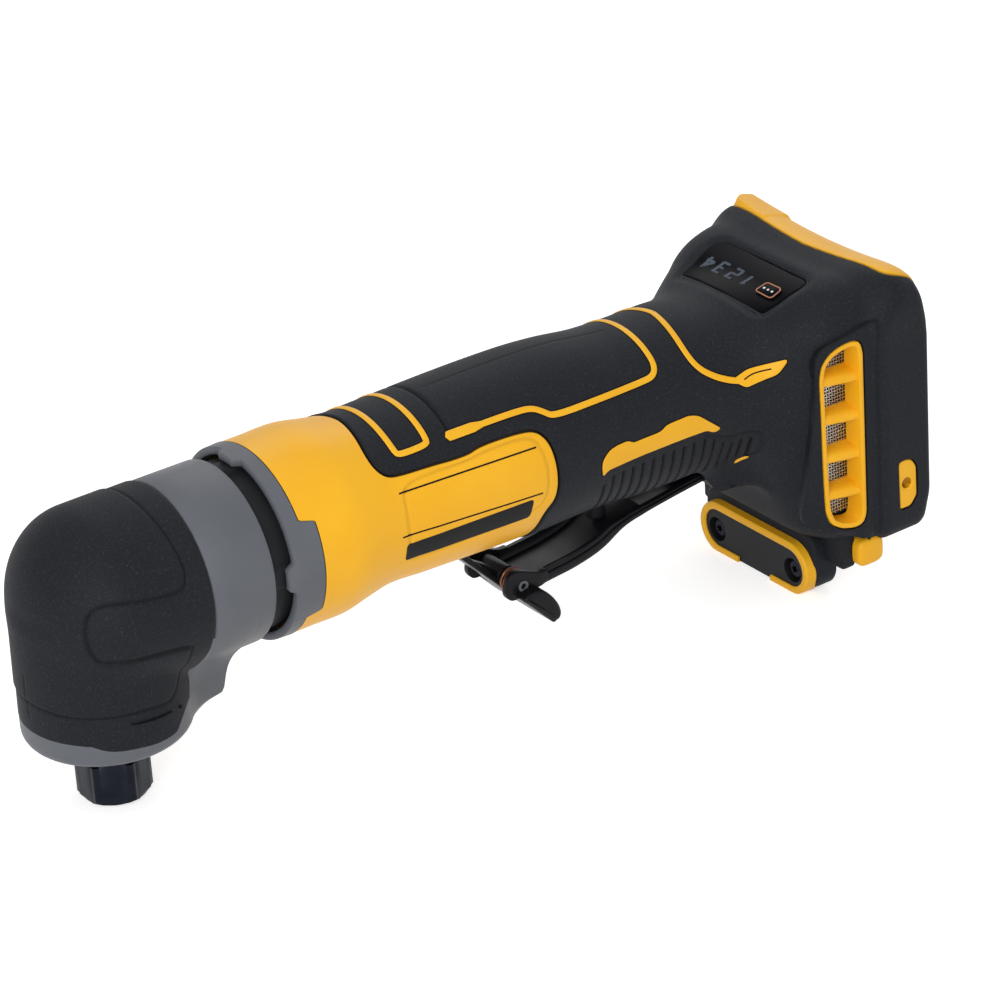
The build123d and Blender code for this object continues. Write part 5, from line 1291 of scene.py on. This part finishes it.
def bay_front():
    """Cover of the chip bay with counterbores whose walls and floors get painted shade, its screws, and the
    yellow rim round it, open below.
    """
    half, radius, z = PILL
    y, h = np.meshgrid(
        np.linspace(-half, half, 190), np.linspace(z - radius, z + radius, 62), indexing="ij")
    face = grid_skin(np.stack([np.full_like(y, BAY_FACE_X), y, h], -1), y, h, flip=True)
    face = face.keep(outline_distance(face.uv, stadium(0.35)))
    screws = []
    for sy, sz in BAY_SCREWS:
        face = face.keep(np.hypot(face.uv[:, 0] - sy, face.uv[:, 1] - sz) - BORE_R)
        screws.append(fix_side(bay_screw(sy, sz), (236, sy, sz)))
    near = np.min([np.hypot(face.xyz[:, 1] - sy, face.xyz[:, 2] - sz) for sy, sz in BAY_SCREWS], 0)
    cover = [face.part(), face.skirt(2.1, near < 4.2, 0.8)]
    for spot in BAY_SCREWS:
        ring = circle(spot, BORE_R + 0.1, 59)
        cover.append(slab(ring, front_view, -BAY_FACE_X - 3.65, -BAY_FACE_X - 2.0, 0.1, 0.8))
    path = stadium(0.9)
    path = np.roll(path, -np.argmin(np.hypot(path[:, 0], path[:, 1] - (z - radius))), 0)
    path = path[~((np.abs(path[:, 0]) < 7.6) & (path[:, 1] < z))]
    path = np.stack([np.full(len(path), BAY_FACE_X + 0.15), path[:, 0], path[:, 1]], 1)
    up = np.broadcast_to((-1.0, 0.0, 0.0), path.shape)
    across = np.cross(up, directions(path))
    profile = np.array((
        (-0.9, -1.0), (-0.9, 0.55), (-0.65, 0.85), (-0.3, 0.95), (0.8, 0.95), (1.25, 0.8), (1.55, 0.45),
        (1.75, -4.2),
        (-0.9, -4.2)))
    outer = np.sign(np.einsum("ij,ij->i", across, path - (BAY_FACE_X, 0, z)).sum())
    count = len(profile)
    rim = sweep(path, across * outer, up, profile, loop=True)
    rim[1].append(np.arange(count)[None])
    rim[1].append((len(path) - 1) * count + np.arange(count)[None, ::-1])
    return cover, screws, [outwards(rim)]


def louvre():
    """Left vent: a frame along its outline with deep inner walls, and four bars that fall to the rear."""
    outline = inset_line(VENT_LINE, 0.0, 0.8)
    path = np.stack(
        [outline[:, 0], 1.2 - side_plane(outline[:, 0]), outline[:, 1]], 1)
    up = np.broadcast_to((0.0, -1.0, 0.0), path.shape)
    across = np.cross(up, directions(path, True))
    middle = np.array([236.8, -37.0, -18.0])
    inner = np.sign(np.einsum("ij,ij->i", across, middle - path).sum())
    profile = np.array((
        (0.05, -3.5), (0.1, 1.0), (0.3, 1.45), (0.65, 1.62), (1.35, 1.62), (1.7, 1.45), (1.88, 1.05),
        (2.0, -5.2)))
    frame_part = fix_side(sweep(path, across * inner, up, profile, closed=True), (236, -20, -18))
    section = np.array((
        (5.2, -0.3), (-0.2, -0.05), (-0.6, 0.15), (-0.85, 0.55), (-0.9, 1.1), (-0.75, 1.8), (-0.3, 2.5),
        (0.6, 3.1), (2.2, 3.6),
        (5.2, 4.2)))
    xs = np.linspace(230.2, 243.5, 20)
    bars = []
    for level in VENT_BARS:
        points = np.stack(np.broadcast_arrays(
            xs[:, None], 1.2 - side_plane(xs)[:, None] + section[None, :, 0],
            level - 0.64 - 0.073 * (xs[:, None] - 229.5) + section[None, :, 1]), -1)
        bars.append(fix_side(part(points, grid_faces(*points.shape[:2])), (236, -30, level + 1.5)))
    return [frame_part] + bars


def woven_screen():
    """Left wire screen: two sets of square wires that pass over and under one another."""
    x, z, wide, tall = 236.9, -17.0, 6.3, 28.4
    pitch, thick = 1.05, 0.14
    across_n, up_n = int(2 * wide / pitch), int(2 * tall / pitch)
    corner = np.array(((-1, -1), (1, -1), (1, 1), (-1, 1))) * thick

    def wires(count, length, flip):
        """Square tubes along one direction; depth waves by a wire's thickness from crossing to crossing."""
        offset = (np.arange(count) - (count - 1) / 2) * pitch
        run = np.arange(-length, length + 0.01, pitch / 2)
        wave = thick * np.cos(math.pi * (run[None] / pitch + np.arange(count)[:, None] + flip))
        side = offset[:, None, None] + corner[None, None, :, 0]
        deep = (-32.6 + wave)[..., None] + corner[None, None, :, 1]
        along = np.broadcast_to(run[None, :, None], (count, len(run), 4))
        side = np.broadcast_to(side, along.shape)
        a, b = (side, along) if not flip else (along, side)
        points = np.stack([x + a, deep, z + b], -1)
        faces = grid_faces(len(run), 4, wrap=True)
        tables = (faces[None] + (np.arange(count) * len(run) * 4)[:, None, None]).reshape(-1, 4)
        ends = np.stack([np.arange(4)[::-1], (len(run) - 1) * 4 + np.arange(4)])
        caps = (ends[None] + (np.arange(count) * len(run) * 4)[:, None, None]).reshape(-1, 4)
        return outwards(part(points, np.concatenate([tables, caps])))

    return [wires(across_n, tall, 0), wires(up_n, wide, 1)]


def vent_well():
    """Dark plate behind the left screen that closes the view into the foot."""
    return slab(inset_line(VENT_LINE, 0.6), side_view, 28.0, 31.5, 0.3)
# Angle head

HEAD_TURN = (30.0, -44.0)
BARREL_R = 27.85
DOME_DEPTH = 23.05
POST_R = 24.05
POST_FLARE = 0.0186
ELBOW_TURN = 10.8
ELBOW_SPAN = 67.9
ELBOW_START = 44.8
ELBOW_FALL = 14.2
COLLAR_R = 27.3
SEAM_X = 22.0
COLLAR_REAR_X = 42.7
BOSS_R = 24.4
BOSS_BOTTOM = -40.6
BOOT_EDGE = (
    (-60, -32.5), (-17.2, -32.5), (-14.5, -33.9), (-12.7, -34.6), (-10, -35.1), (-4.3, -35.4), (1.7, -36),
    (6.4, -36), (9.3, -35.8),
    (11.1, -33.9), (14.3, -31.3), (17.4, -30.1), (18.9, -25), (20.4, -19.5), (22, -12), (22, 60), (-60, 60))


def barrel_form(p, radius, nose):
    """Cylinder along the motor axis with an oval dome in front of the spindle axis."""
    front = np.minimum(p[..., 0], 0) / nose
    ring = np.hypot(p[..., 1], p[..., 2]) / radius
    return (np.sqrt(front**2 + ring**2) - 1) * radius * np.where(p[..., 0] < 0, 0.93, 1.0)


def post_form(p, radius, flare=0.0, top=4.0):
    """Cone along the spindle axis, a little wider below, rounded off at its top inside the barrel."""
    return smooth_max(np.hypot(p[..., 0], p[..., 1]) - radius + flare * p[..., 2], p[..., 2] - top, 6.0)


def boot_form(p):
    """Barrel with its oval dome, run into the spindle post with a close fillet."""
    return smooth_min(barrel_form(p, BARREL_R, DOME_DEPTH), post_form(p, POST_R, POST_FLARE), 1.2)


def case_form(p):
    """Collar and post joined by a web between two planes below and one behind, with fillets."""
    x, y, z = axes(p)
    joined = smooth_min(barrel_form(p, COLLAR_R - 0.06, DOME_DEPTH - 1), post_form(p, BOSS_R - 0.06), 5.0)
    level = ((x - 20.0) * 1.8 - (z + 41.0) * 10.5) / math.hypot(1.8, 10.5)
    slant = ((x - 30.5) * 6.4 - (z + 38.6) * 7.1) / math.hypot(6.4, 7.1) - 2.0
    web = smooth_max(np.abs(y) - 11.0, level, 3.5)
    web = smooth_max(web, slant, 3.5)
    web = smooth_max(web, x - 40.4, 3.0)
    web = smooth_max(web, z + 10.0, 2.0)
    web = smooth_max(web, -x, 2.0)
    return smooth_max(smooth_min(joined, web, 7.0), BOSS_BOTTOM + 0.1 - z, 5.0)


def elbow_rays(turn, angle):
    """Starts and directions of the elbow's rays, for angles in radians.

    The half plane at turn 0 stands upright and at a quarter turn lies level in front; its rays leave from
    a centre that moves along it from the motor axis to the spindle axis.
    """
    centre = ELBOW_START - ELBOW_FALL * ((np.degrees(turn) - ELBOW_TURN) / ELBOW_SPAN)
    out = np.stack([-np.sin(turn), np.zeros_like(turn), np.cos(turn)], -1)
    origin = np.array([HEAD_TURN[0], 0, HEAD_TURN[1]]) + centre[..., None] * out
    heading = np.cos(angle)[..., None] * out - np.sin(angle)[..., None] * np.array([0, 1.0, 0])
    return origin, heading


def elbow(form, turns, angles):
    """Surface of a form over half planes that turn about a line behind the elbow, and angles round each."""
    turn, angle = np.meshgrid(np.radians(turns), np.radians(angles), indexing="ij")
    points = reach(form, *elbow_rays(turn, angle), 1.0, 70.0)
    return grid_skin(points, np.degrees(turn), np.degrees(angle))


def elbow_line(form, places):
    """Softened line of (turn, angle) places on an elbow surface."""
    turn, angle = np.radians(resample(soften(places), 1.0)).T
    return reach(form, *elbow_rays(turn, angle), 1.0, 70.0)


PAD_LINE = ((13, 0), (13, 35), (13.5, 52), (14.5, 60), (16.5, 64.5), (19.5, 64), (29.4, 51), (36, 39))
BADGE_LINE = ((36, 39), (39.5, 34), (43.5, 36), (47.6, 42), (48.6, 50), (39.5, 72), (24.5, 98.7))
LOWER_LINE = (
    (24.5, 98.7), (30.8, 113.4), (48.6, 111.4), (56.9, 88), (64.6, 60.8), (68, 35), (68.4, 12.8), (68.4, 0))


def pad_distance(skin):
    """Distance from the outline of the raised pads over the skin: positive on the pads."""
    places = np.concatenate([soften(line, 3) for line in (PAD_LINE, BADGE_LINE, LOWER_LINE)])
    left = skin.xyz * (1, 1, 1)
    left[:, 1] = -np.abs(left[:, 1])
    near = np.full(len(left), np.inf)
    for line in (PAD_LINE, BADGE_LINE, LOWER_LINE):
        near = np.minimum(near, line_distance(left, elbow_line(boot_form, line)))
    closed = np.concatenate([places, [(LOWER_LINE[-1][0], -20), (PAD_LINE[0][0], -20)]])
    inside = outline_distance(np.abs(skin.uv), closed) > 0
    return np.where(inside, near, -near)


def head_boot():
    """Rubber boot: the elbow skin with raised pads in thin grooves, cut at the collar and its lower edge; the
    grooves, the parting line and the edge wall get painted shade.
    """
    skin = elbow(boot_form, np.linspace(4, 92, 221), np.linspace(-180, 180, 361))
    p = skin.xyz
    pads = pad_distance(skin)
    turn, angle = skin.uv[:, 0], np.abs(skin.uv[:, 1])
    slack = 0.45 + 0.5 * ease(33, 37, turn) * (1 - ease(47, 50, turn)) * (1 - ease(40, 56, angle))
    rise = 0.45 * ease(-slack, slack, pads)
    groove = np.exp(-(pads / 0.55) ** 2)
    parting = np.exp(-(p[:, 1] / 0.4) ** 2) * ease(-13.5, -15, p[:, 2])
    parting = parting * ease(-28, -26.5, p[:, 2]) * (p[:, 0] < 0)
    edge = outline_distance(p[:, [0, 2]], soften(BOOT_EDGE, 2, True))
    rolled_edge = 1 - shoulder(edge, 0.9)
    lift = rise - 0.17 - 0.45 * groove - 0.2 * parting - 0.45 * rolled_edge
    skin.table[:, :3] = p + form_normal(boot_form, p) * lift[:, None]
    # Painted shade in the pad grooves and the parting line.
    skin.table[:, 5] = np.clip(0.85 * groove + 0.7 * parting, 0, 1)
    skin = skin.keep(outline_distance(skin.xyz[:, [0, 2]], soften(BOOT_EDGE, 2, True)))
    return [skin.part(), skin.skirt(1.2)] + boot_marks()


def boot_marks():
    """Small dot and short line on the boot's left side, as thin dark plates on the post."""
    def on_post(u, v, h):
        a = np.radians(u)
        r = POST_R - POST_FLARE * v + h
        return np.stack([-r * np.cos(a), -r * np.sin(a), v], -1)

    dot = circle((117, -28.9), (math.degrees(0.5 / 24.5), 0.5), 24)
    run = np.linspace(0, 1, 40)[:, None]
    upper = (76, -26.95) + run * (31, -1.1)
    lower = (107, -28.35) - run * (31, -1.1)
    line = np.concatenate([upper, lower])
    return [slab(dot, on_post, -0.6, 0.4, 0.05, 1.0, 3), slab(line, on_post, -0.6, 0.4, 0.02, 0.8, 3)]


def head_case():
    """Grey case: turned collar and spindle boss, and the web between them cut from the case form; the
    collar's seam gap and rear edge get painted shade.
    """
    collar = (
        (SEAM_X - 3, COLLAR_R - 2.4), (SEAM_X - 0.1, COLLAR_R - 1.1), (SEAM_X + 0.25, COLLAR_R - 0.3),
        (SEAM_X + 0.7, COLLAR_R),
        (30, COLLAR_R), (41.7, COLLAR_R - 0.1), (42.4, COLLAR_R - 0.4), (COLLAR_REAR_X, COLLAR_R - 1.1),
        (COLLAR_REAR_X, 23.0),
        (41, 22.0))
    t = np.radians(np.linspace(-90, 0, 9))
    bottom = np.stack([BOSS_R - 4 + 4 * np.cos(t), BOSS_BOTTOM + 4 + 4 * np.sin(t)], 1)
    boss = np.concatenate([
        [(17.5, -36.0), (17.5, BOSS_BOTTOM + 0.6), (18.0, BOSS_BOTTOM)], bottom,
        [(BOSS_R, -30.0), (BOSS_R - 2, -29.0)]])
    skin = elbow(case_form, np.linspace(-14, 96, 170), np.linspace(-180, 180, 241))
    skin = skin.keep(-10.0 - skin.xyz[:, 2])
    skin = skin.keep(41.5 - skin.xyz[:, 0])
    skin = skin.keep(skin.xyz[:, 2] - BOSS_BOTTOM - 0.3)
    under = outline_distance(skin.xyz[:, [0, 2]], soften(BOOT_EDGE, 2, True))
    sink = 0.9 * ease(0.3, 1.8, under)
    skin.table[:, :3] = skin.xyz - form_normal(case_form, skin.xyz) * sink[:, None]
    skin = skin.keep(5.0 - under)
    post = around_z(((BOSS_R - 1.0, -36.0), (BOSS_R - 1.1, -12.0)), 145)
    turned = around_x(collar, 181, groove=(1, 1, 0.5, 0, 0, 0, 0, 0, 0.4, 1))
    return [turned, around_z(boss, 145), post, skin.part()]


def deflector_ring():
    """Grey ring: a nose at each quarter of its front edge, longer tabs behind; x changes with the angle."""
    angle = np.linspace(0, 360, 721)
    nose = 1 - ease(6, 10, np.abs((angle + 45) % 90 - 45))
    front = 48.2 - 2.3 * nose
    rear = ring_rear(angle)
    rows = (
        (front + 3.0, 26.2), (front + 0.3, 26.4), (front, 26.8), (front, 28.3), (front + 0.35, 28.75),
        (rear - 0.3, 28.95),
        (rear, 28.7), (rear, 26.4))
    return [ring_rows(rows, angle)]


def baffle_ring():
    """Dark ring seen in the gap before the deflector ring: its radius steps up at a bar in each quarter."""
    angle = np.linspace(0, 360, 361)
    radius = 25.0 + 1.1 * (1 - ease(5, 8, np.abs((angle + 45) % 90 - 45)))
    return [ring_rows(((40.5, radius), (52.0, radius)), angle)]


def collet_nut():
    """Hexagon nut: a rounded hexagon that eases into a round chamfer at both faces, and its bore."""
    a = np.radians(np.linspace(0, 360, 241))
    turn = (a + math.pi / 6) % (math.pi / 3) - math.pi / 6
    hexagon = np.minimum(9.5 / np.cos(turn), 10.72)
    rows = []
    for z, cap in (
            (14.0, 7.6), (14.0, 9.0), (13.6, 9.6), (12.9, 12), (1.5, 12), (0.9, 10.1), (0.45, 9.3),
            (0.1, 8.6), (0.0, 7.9), (0.0, 5.2),
            (0.5, 4.8), (3.0, 4.8)):
        r = np.minimum(hexagon, cap)
        rows.append(np.stack([r * np.cos(a), r * np.sin(a), np.full_like(a, z - AXIS_Z)], -1))
    points = np.stack(rows)
    return [part(points, grid_faces(*points.shape[:2]))]
# Display and key

DIGIT_PLACES = (-2.4, 3.6, 9.7, 15.7)
KEY_Y = -13.0
KEY_RISE = 0.4
GLASS_DROP = 0.55


def display_parts():
    """Lens, its speed digits, the key frame, the key and its dots, all on the display's slope."""
    u, v = np.meshgrid(np.linspace(-9.6, 11.2, 47), np.linspace(-24.8, 24.8, 109), indexing="ij")
    inside = outline_distance(np.stack([u.ravel(), v.ravel()], 1), lens_outline(-0.05))
    drop = GLASS_DROP + 0.3 * (1 - shoulder(inside, 0.5))
    glass = grid_skin(on_display(u.ravel(), v.ravel(), -drop), u, v).keep(inside)
    lens = [glass.part(), glass.skirt(1.5)]
    strokes = {
        "1": (((0, -2), (0, 2), (-0.8, 1.3)),),
        "2": (((-1, 2), (1, 2), (1, 0), (-1, 0), (-1, -2), (1, -2)),),
        "3": (((-1, 2), (1, 2), (1, -2), (-1, -2)), ((-0.6, 0), (1, 0))),
        "4": (((0.5, -2), (0.5, 2), (-1.1, -0.7), (1.1, -0.7)),),
    }
    digits = []
    for name, centre in zip("1234", DIGIT_PLACES):
        for line in strokes[name]:
            line = resample(np.asarray(line, float) * (1.45, 1.2), 0.25)
            path = on_display(-line[:, 1], centre + line[:, 0], 0.0)
            across, up = display_frame(path)
            profile = ((-0.58, -0.65), (-0.58, -0.5), (0.58, -0.5), (0.58, -0.65))
            digits.append(sweep(path, across, up, profile))

    def at_key(u, v, h):
        return on_display(u, v + KEY_Y, np.asarray(h) + KEY_RISE)

    key = slab(box_outline(2.2, 3.4, 1.0), at_key, -1.0, -0.32, 0.2)
    ring = resample(box_outline(2.35, 3.55, 1.1), 0.4, True)
    path = at_key(ring[:, 0], ring[:, 1], 0.0)
    across, up = display_frame(path, True)
    border = sweep(
        path, across, up, ((-0.18, -0.4), (-0.18, -0.2), (0.18, -0.2), (0.18, -0.4)), closed=True)
    dots = [slab(circle((0.0, dy), 0.42, 19), at_key, -0.35, -0.1, 0.06) for dy in (2.0, 0.2, -1.6)]
    return lens, digits, key, border, dots
# Paddle and lock lever

PADDLE_LINE = (
    (139.5, -44.9), (148, -44.1), (156.7, -43.2), (167.1, -40.6), (175.3, -36.4), (182, -34.9),
    (192, -33.4), (200, -32.4), (207, -31.6),
    (213, -30.6))
PADDLE_DEPTH = ((142, 4.4), (170, 4.4), (175, 2.9), (186, 2.2), (213, 2.1))
EAR_LINE = (
    (146, -44.3), (146.4, -39.6), (143, -39.9), (139.6, -38.4), (135.6, -36.8), (132.8, -36.8),
    (131.2, -39.6), (130.4, -43.3),
    (132.1, -45.7), (134.8, -46), (139.5, -44.9))
PIN = (136.7, -42.0)
PIVOT = (213.0, -33.0)
PROP_PLATE = ((122.3, -29.5), (120.9, -30.5), (136.6, -47.2), (138.4, -46.4))
PROP_CHEEK = ((123, -32.7), (124.6, -32.7), (131, -36.7), (135, -40.7), (138, -44), (134.6, -44.4))
PROP_FOOT = ((135.9, -46.6), (137.9, -46.4), (146.2, -55), (144.4, -55.8))
PROP_TAB = (
    (133.6, -44.5), (136.8, -42.9), (140.6, -42.9), (144.2, -46.3), (146.7, -50), (147.6, -53.2),
    (146.7, -55.3), (144.4, -55.5))


def paddle():
    """Trough open upwards: a U section with a ledge along its sides, carried along the paddle's line."""
    xs = np.linspace(142.0, 210.5, 110)
    low = curve(PADDLE_LINE, xs)
    depth = np.interp(xs, *np.transpose(PADDLE_DEPTH))
    section = np.array((
        (-8.4, 1.0), (-8.55, 0.985), (-9.7, 1.0), (-9.95, 0.93), (-9.95, 0.72), (-10.45, 0.66),
        (-10.6, 0.58), (-10.6, 0.22),
        (-10.3, 0.06), (-9.5, 0.0), (0, -0.02), (9.5, 0.0), (10.3, 0.06), (10.6, 0.22), (10.6, 0.58),
        (10.45, 0.66), (9.95, 0.72),
        (9.95, 0.93), (9.7, 1.0), (8.55, 0.985), (8.4, 1.0), (8.3, 0.6), (7.6, 0.36), (0, 0.34),
        (-7.6, 0.36), (-8.3, 0.6)))
    points = np.stack(np.broadcast_arrays(
        xs[:, None], section[None, :, 0], low[:, None] + depth[:, None] * section[None, :, 1]), -1)
    count = len(section)
    end = np.arange(count)[None]
    faces = [grid_faces(len(xs), count, wrap=True), end, (len(xs) - 1) * count + end[:, ::-1]]
    pieces = [outwards(part(points, faces))]
    ear = slab(resample(soften(EAR_LINE, 2, True), 0.7, True), side_view, 8.6, 10.75, 0.5)
    barrel = slab(circle(PIVOT, 2.8, 48), side_view, -10.6, 10.6, 0.4)
    return pieces + [ear, mirrored(ear), barrel]


def lock_lever():
    """Slanted prop plate with a cheek to its hub, and a wide foot below it with a raised tab at each end."""
    pieces = [slab(circle(PIN, 3.3, 40), side_view, -8.2, 2.6, 0.3)]
    for corners, low, high, cut, edge in (
            (PROP_PLATE, -8.2, 2.6, 0.6, 0.4), (PROP_CHEEK, -1.4, 1.2, 0.8, 0.4),
            (PROP_FOOT, -14.6, 14.6, 0.7, 0.5)):
        pieces.append(slab(resample(rounded(corners, cut), 0.5, True), side_view, low, high, edge))
    tab = slab(resample(rounded(PROP_TAB, 2.0), 0.5, True), side_view, 10.9, 15.0, 1.4, steps=6)
    return pieces + [tab, mirrored(tab)]


# Assembly

finish_nodes()

beads, painted_shadow_bands = piping()
edge, rails = rear_frame()
cover, bay_screws, bay_rim = bay_front()
rims = rubber_rims()
shell_rims = yellow_rims()
shell_extra = rails + [rail_toe()] + tether_window()
rubber_left = rubber_skin("left") + rims + painted_shadow_bands + [edge, bay_block(), toe_wall(34.8)]
rubber_right = rubber_skin("right") + rims + painted_shadow_bands + [edge, toe_wall(32.5)]
shell_left = [yellow_skin("left").part()] + shell_rims + shell_extra + bay_rim + strip("left")
shell_right = [yellow_skin("right").part()] + shell_rims + shell_extra + strip("right")

make_pair("grip_rubber", rubber_left, GRIP, "overmold", rubber_right)
make_pair("yellow_shell", shell_left, YELLOW, "housing", shell_right)
make_pair("piping", beads, YELLOW)
make_pair("louvre", louvre(), YELLOW, "vent_grille")
make_pair("wire_screen", woven_screen(), WIRE, "vent_screen")
make_pair("vent_well", [vent_well()], DARK)
make_piece("bay_cover_plate", cover, DARK, nodes=("chip_bay_cover",))
make_piece("bay_screw_heads", bay_screws, NUT, nodes=("chip_bay_screws",))
make_pair("plate_lines", plate_lines(), DARK)
make_piece("head_rubber", head_boot(), BOOT, nodes=("head_boot",))
make_piece("head_casting", head_case(), CASE, nodes=("gear_case",))
make_piece("exhaust_ring", deflector_ring(), CASE, nodes=("air_deflector_ring",))
make_piece("exhaust_baffle", baffle_ring(), DARK, nodes=("fan_baffle",))
make_piece("hex_nut", collet_nut(), NUT, body="collet_nut", nodes=("collet_nut",))
lens, digits, key, key_border, key_dots = display_parts()
make_piece("display_glass", lens, GLASS, nodes=("display_lens",))
make_piece("speed_digits", digits, DIGIT)
make_piece("speed_key", [key], GLASS, body="speed_button", nodes=("speed_button",))
make_piece("speed_key_border", [key_border], ORANGE, body="speed_button")
make_piece("speed_key_dots", key_dots, DOT, body="speed_button")
make_piece("paddle_trough", paddle(), LEVER, body="lever", nodes=("paddle_lever",))
make_piece("lock_blade", lock_lever(), LEVER, body="lock_lever", nodes=("lock_lever",))


# Stage

FLOOR_SLOPE = -15.2 / 240.0


def stage_floor():
    """Pale floor through the nut's face and the chin, which curves up far behind the tool."""
    u, v = np.meshgrid(np.linspace(-3.0, 3.0, 40), np.linspace(-3.0, 6.0, 60), indexing="ij")
    back = np.clip(v - 2.6, 0, None)
    z = FLOOR_SLOPE * (u + 0.13) - 0.0004 + 0.35 * back**2
    points = np.stack([u + 0.13, v, z], -1).reshape(-1, 3)
    mesh = bpy.data.meshes.new("stage_floor")
    mesh.from_pydata(points.tolist(), [], grid_faces(*u.shape).tolist())
    f = Finish("stage_white", specular_ior_level=0.1)
    f.shader.inputs["Base Color"].default_value = (0.86, 0.86, 0.86, 1.0)
    f.shader.inputs["Roughness"].default_value = 0.9
    light_path = f.tree.nodes.new("ShaderNodeLightPath")
    rays = ("Is Camera Ray", "Is Glossy Ray", "Is Transmission Ray")
    camera, glossy, through = (Wire(f, light_path.outputs[ray]) for ray in rays)
    seen = camera + glossy + through
    glow = f.add("ShaderNodeEmission", {}, {"Color": (1, 1, 1, 1), "Strength": 0.6})
    none = f.add("ShaderNodeEmission", {}, {"Color": (0, 0, 0, 1), "Strength": 0.0})
    extra = f.add("ShaderNodeMixShader", {}, {0: seen, 1: none, 2: glow})
    total = f.add("ShaderNodeAddShader", {}, {1: extra})
    f.tree.links.new(f.shader.outputs[0], total.socket.node.inputs[0])
    f.tree.links.new(total.socket, f.tree.nodes["Material Output"].inputs[0])
    mesh.materials.append(f.material)
    floor = bpy.data.objects.new("stage_floor", mesh)
    bpy.context.scene.collection.objects.link(floor)


def add_lamp(name, place, target, size, power):
    """Soft square lamp that looks at a point."""
    lamp = bpy.data.lights.new(name, "AREA")
    lamp.size = size
    lamp.energy = power
    holder = bpy.data.objects.new(name, lamp)
    holder.location = place
    holder.rotation_euler = Vector(np.subtract(target, place)).to_track_quat("-Z", "Y").to_euler()
    bpy.context.scene.collection.objects.link(holder)


def light():
    """Even white surroundings, a strong lamp from the left front and weaker ones overhead and behind."""
    world = bpy.data.worlds.new("studio")
    world.use_nodes = True
    nodes, links = world.node_tree.nodes, world.node_tree.links
    background = nodes["Background"]
    path = nodes.new("ShaderNodeLightPath")
    seen = path.outputs["Is Camera Ray"]
    for ray in ("Is Glossy Ray", "Is Transmission Ray"):
        either = nodes.new("ShaderNodeMath")
        either.operation = "MAXIMUM"
        links.new(seen, either.inputs[0])
        links.new(path.outputs[ray], either.inputs[1])
        seen = either.outputs[0]
    level = nodes.new("ShaderNodeMapRange")
    level.inputs[3].default_value = 0.5
    level.inputs[4].default_value = 1.0
    links.new(seen, level.inputs[0])
    links.new(level.outputs[0], background.inputs["Strength"])
    background.inputs["Color"].default_value = (1, 1, 1, 1)
    bpy.context.scene.world = world
    middle = (0.13, 0.0, 0.04)
    add_lamp("overhead", (-0.05, -0.25, 1.1), middle, 0.9, 1.8)
    add_lamp("left_front", (-0.7, -0.9, 0.55), middle, 0.7, 8.2)
    add_lamp("right_rear", (0.7, 0.6, 0.7), middle, 0.6, 1.5)


CAMERA = {
    "azimuth": -34.585, "elevation": 27.373, "roll": -3.886, "distance": 1337.979, "x": 134.948,
    "z": -17.047, "focal_px": 4581.626}


def add_camera():
    """Camera of the photograph: azimuth, elevation and roll about a point on the tool."""
    a, e, r = (math.radians(CAMERA[k]) for k in ("azimuth", "elevation", "roll"))
    back = np.array([math.sin(a) * math.cos(e), -math.cos(a) * math.cos(e), math.sin(e)])
    right = np.cross(-back, (0, 0, 1))
    right /= np.linalg.norm(right)
    up = np.cross(right, -back)
    right, up = math.cos(r) * right + math.sin(r) * up, -math.sin(r) * right + math.cos(r) * up
    place = (np.array([CAMERA["x"], 0, CAMERA["z"] + AXIS_Z]) + back * CAMERA["distance"]) * MM
    data = bpy.data.cameras.new("camera")
    data.sensor_width = 36.0
    data.lens = CAMERA["focal_px"] * 36.0 / 1000.0
    data.clip_end = 50.0
    camera = bpy.data.objects.new("camera", data)
    camera.matrix_world = Matrix([
        [right[k], up[k], back[k], place[k]] for k in range(3)] + [[0, 0, 0, 1]])
    bpy.context.scene.collection.objects.link(camera)
    bpy.context.scene.camera = camera


stage_floor()
light()
add_camera()
bpy.context.scene.view_settings.view_transform = "Standard"

bpy.context.view_layer.update()
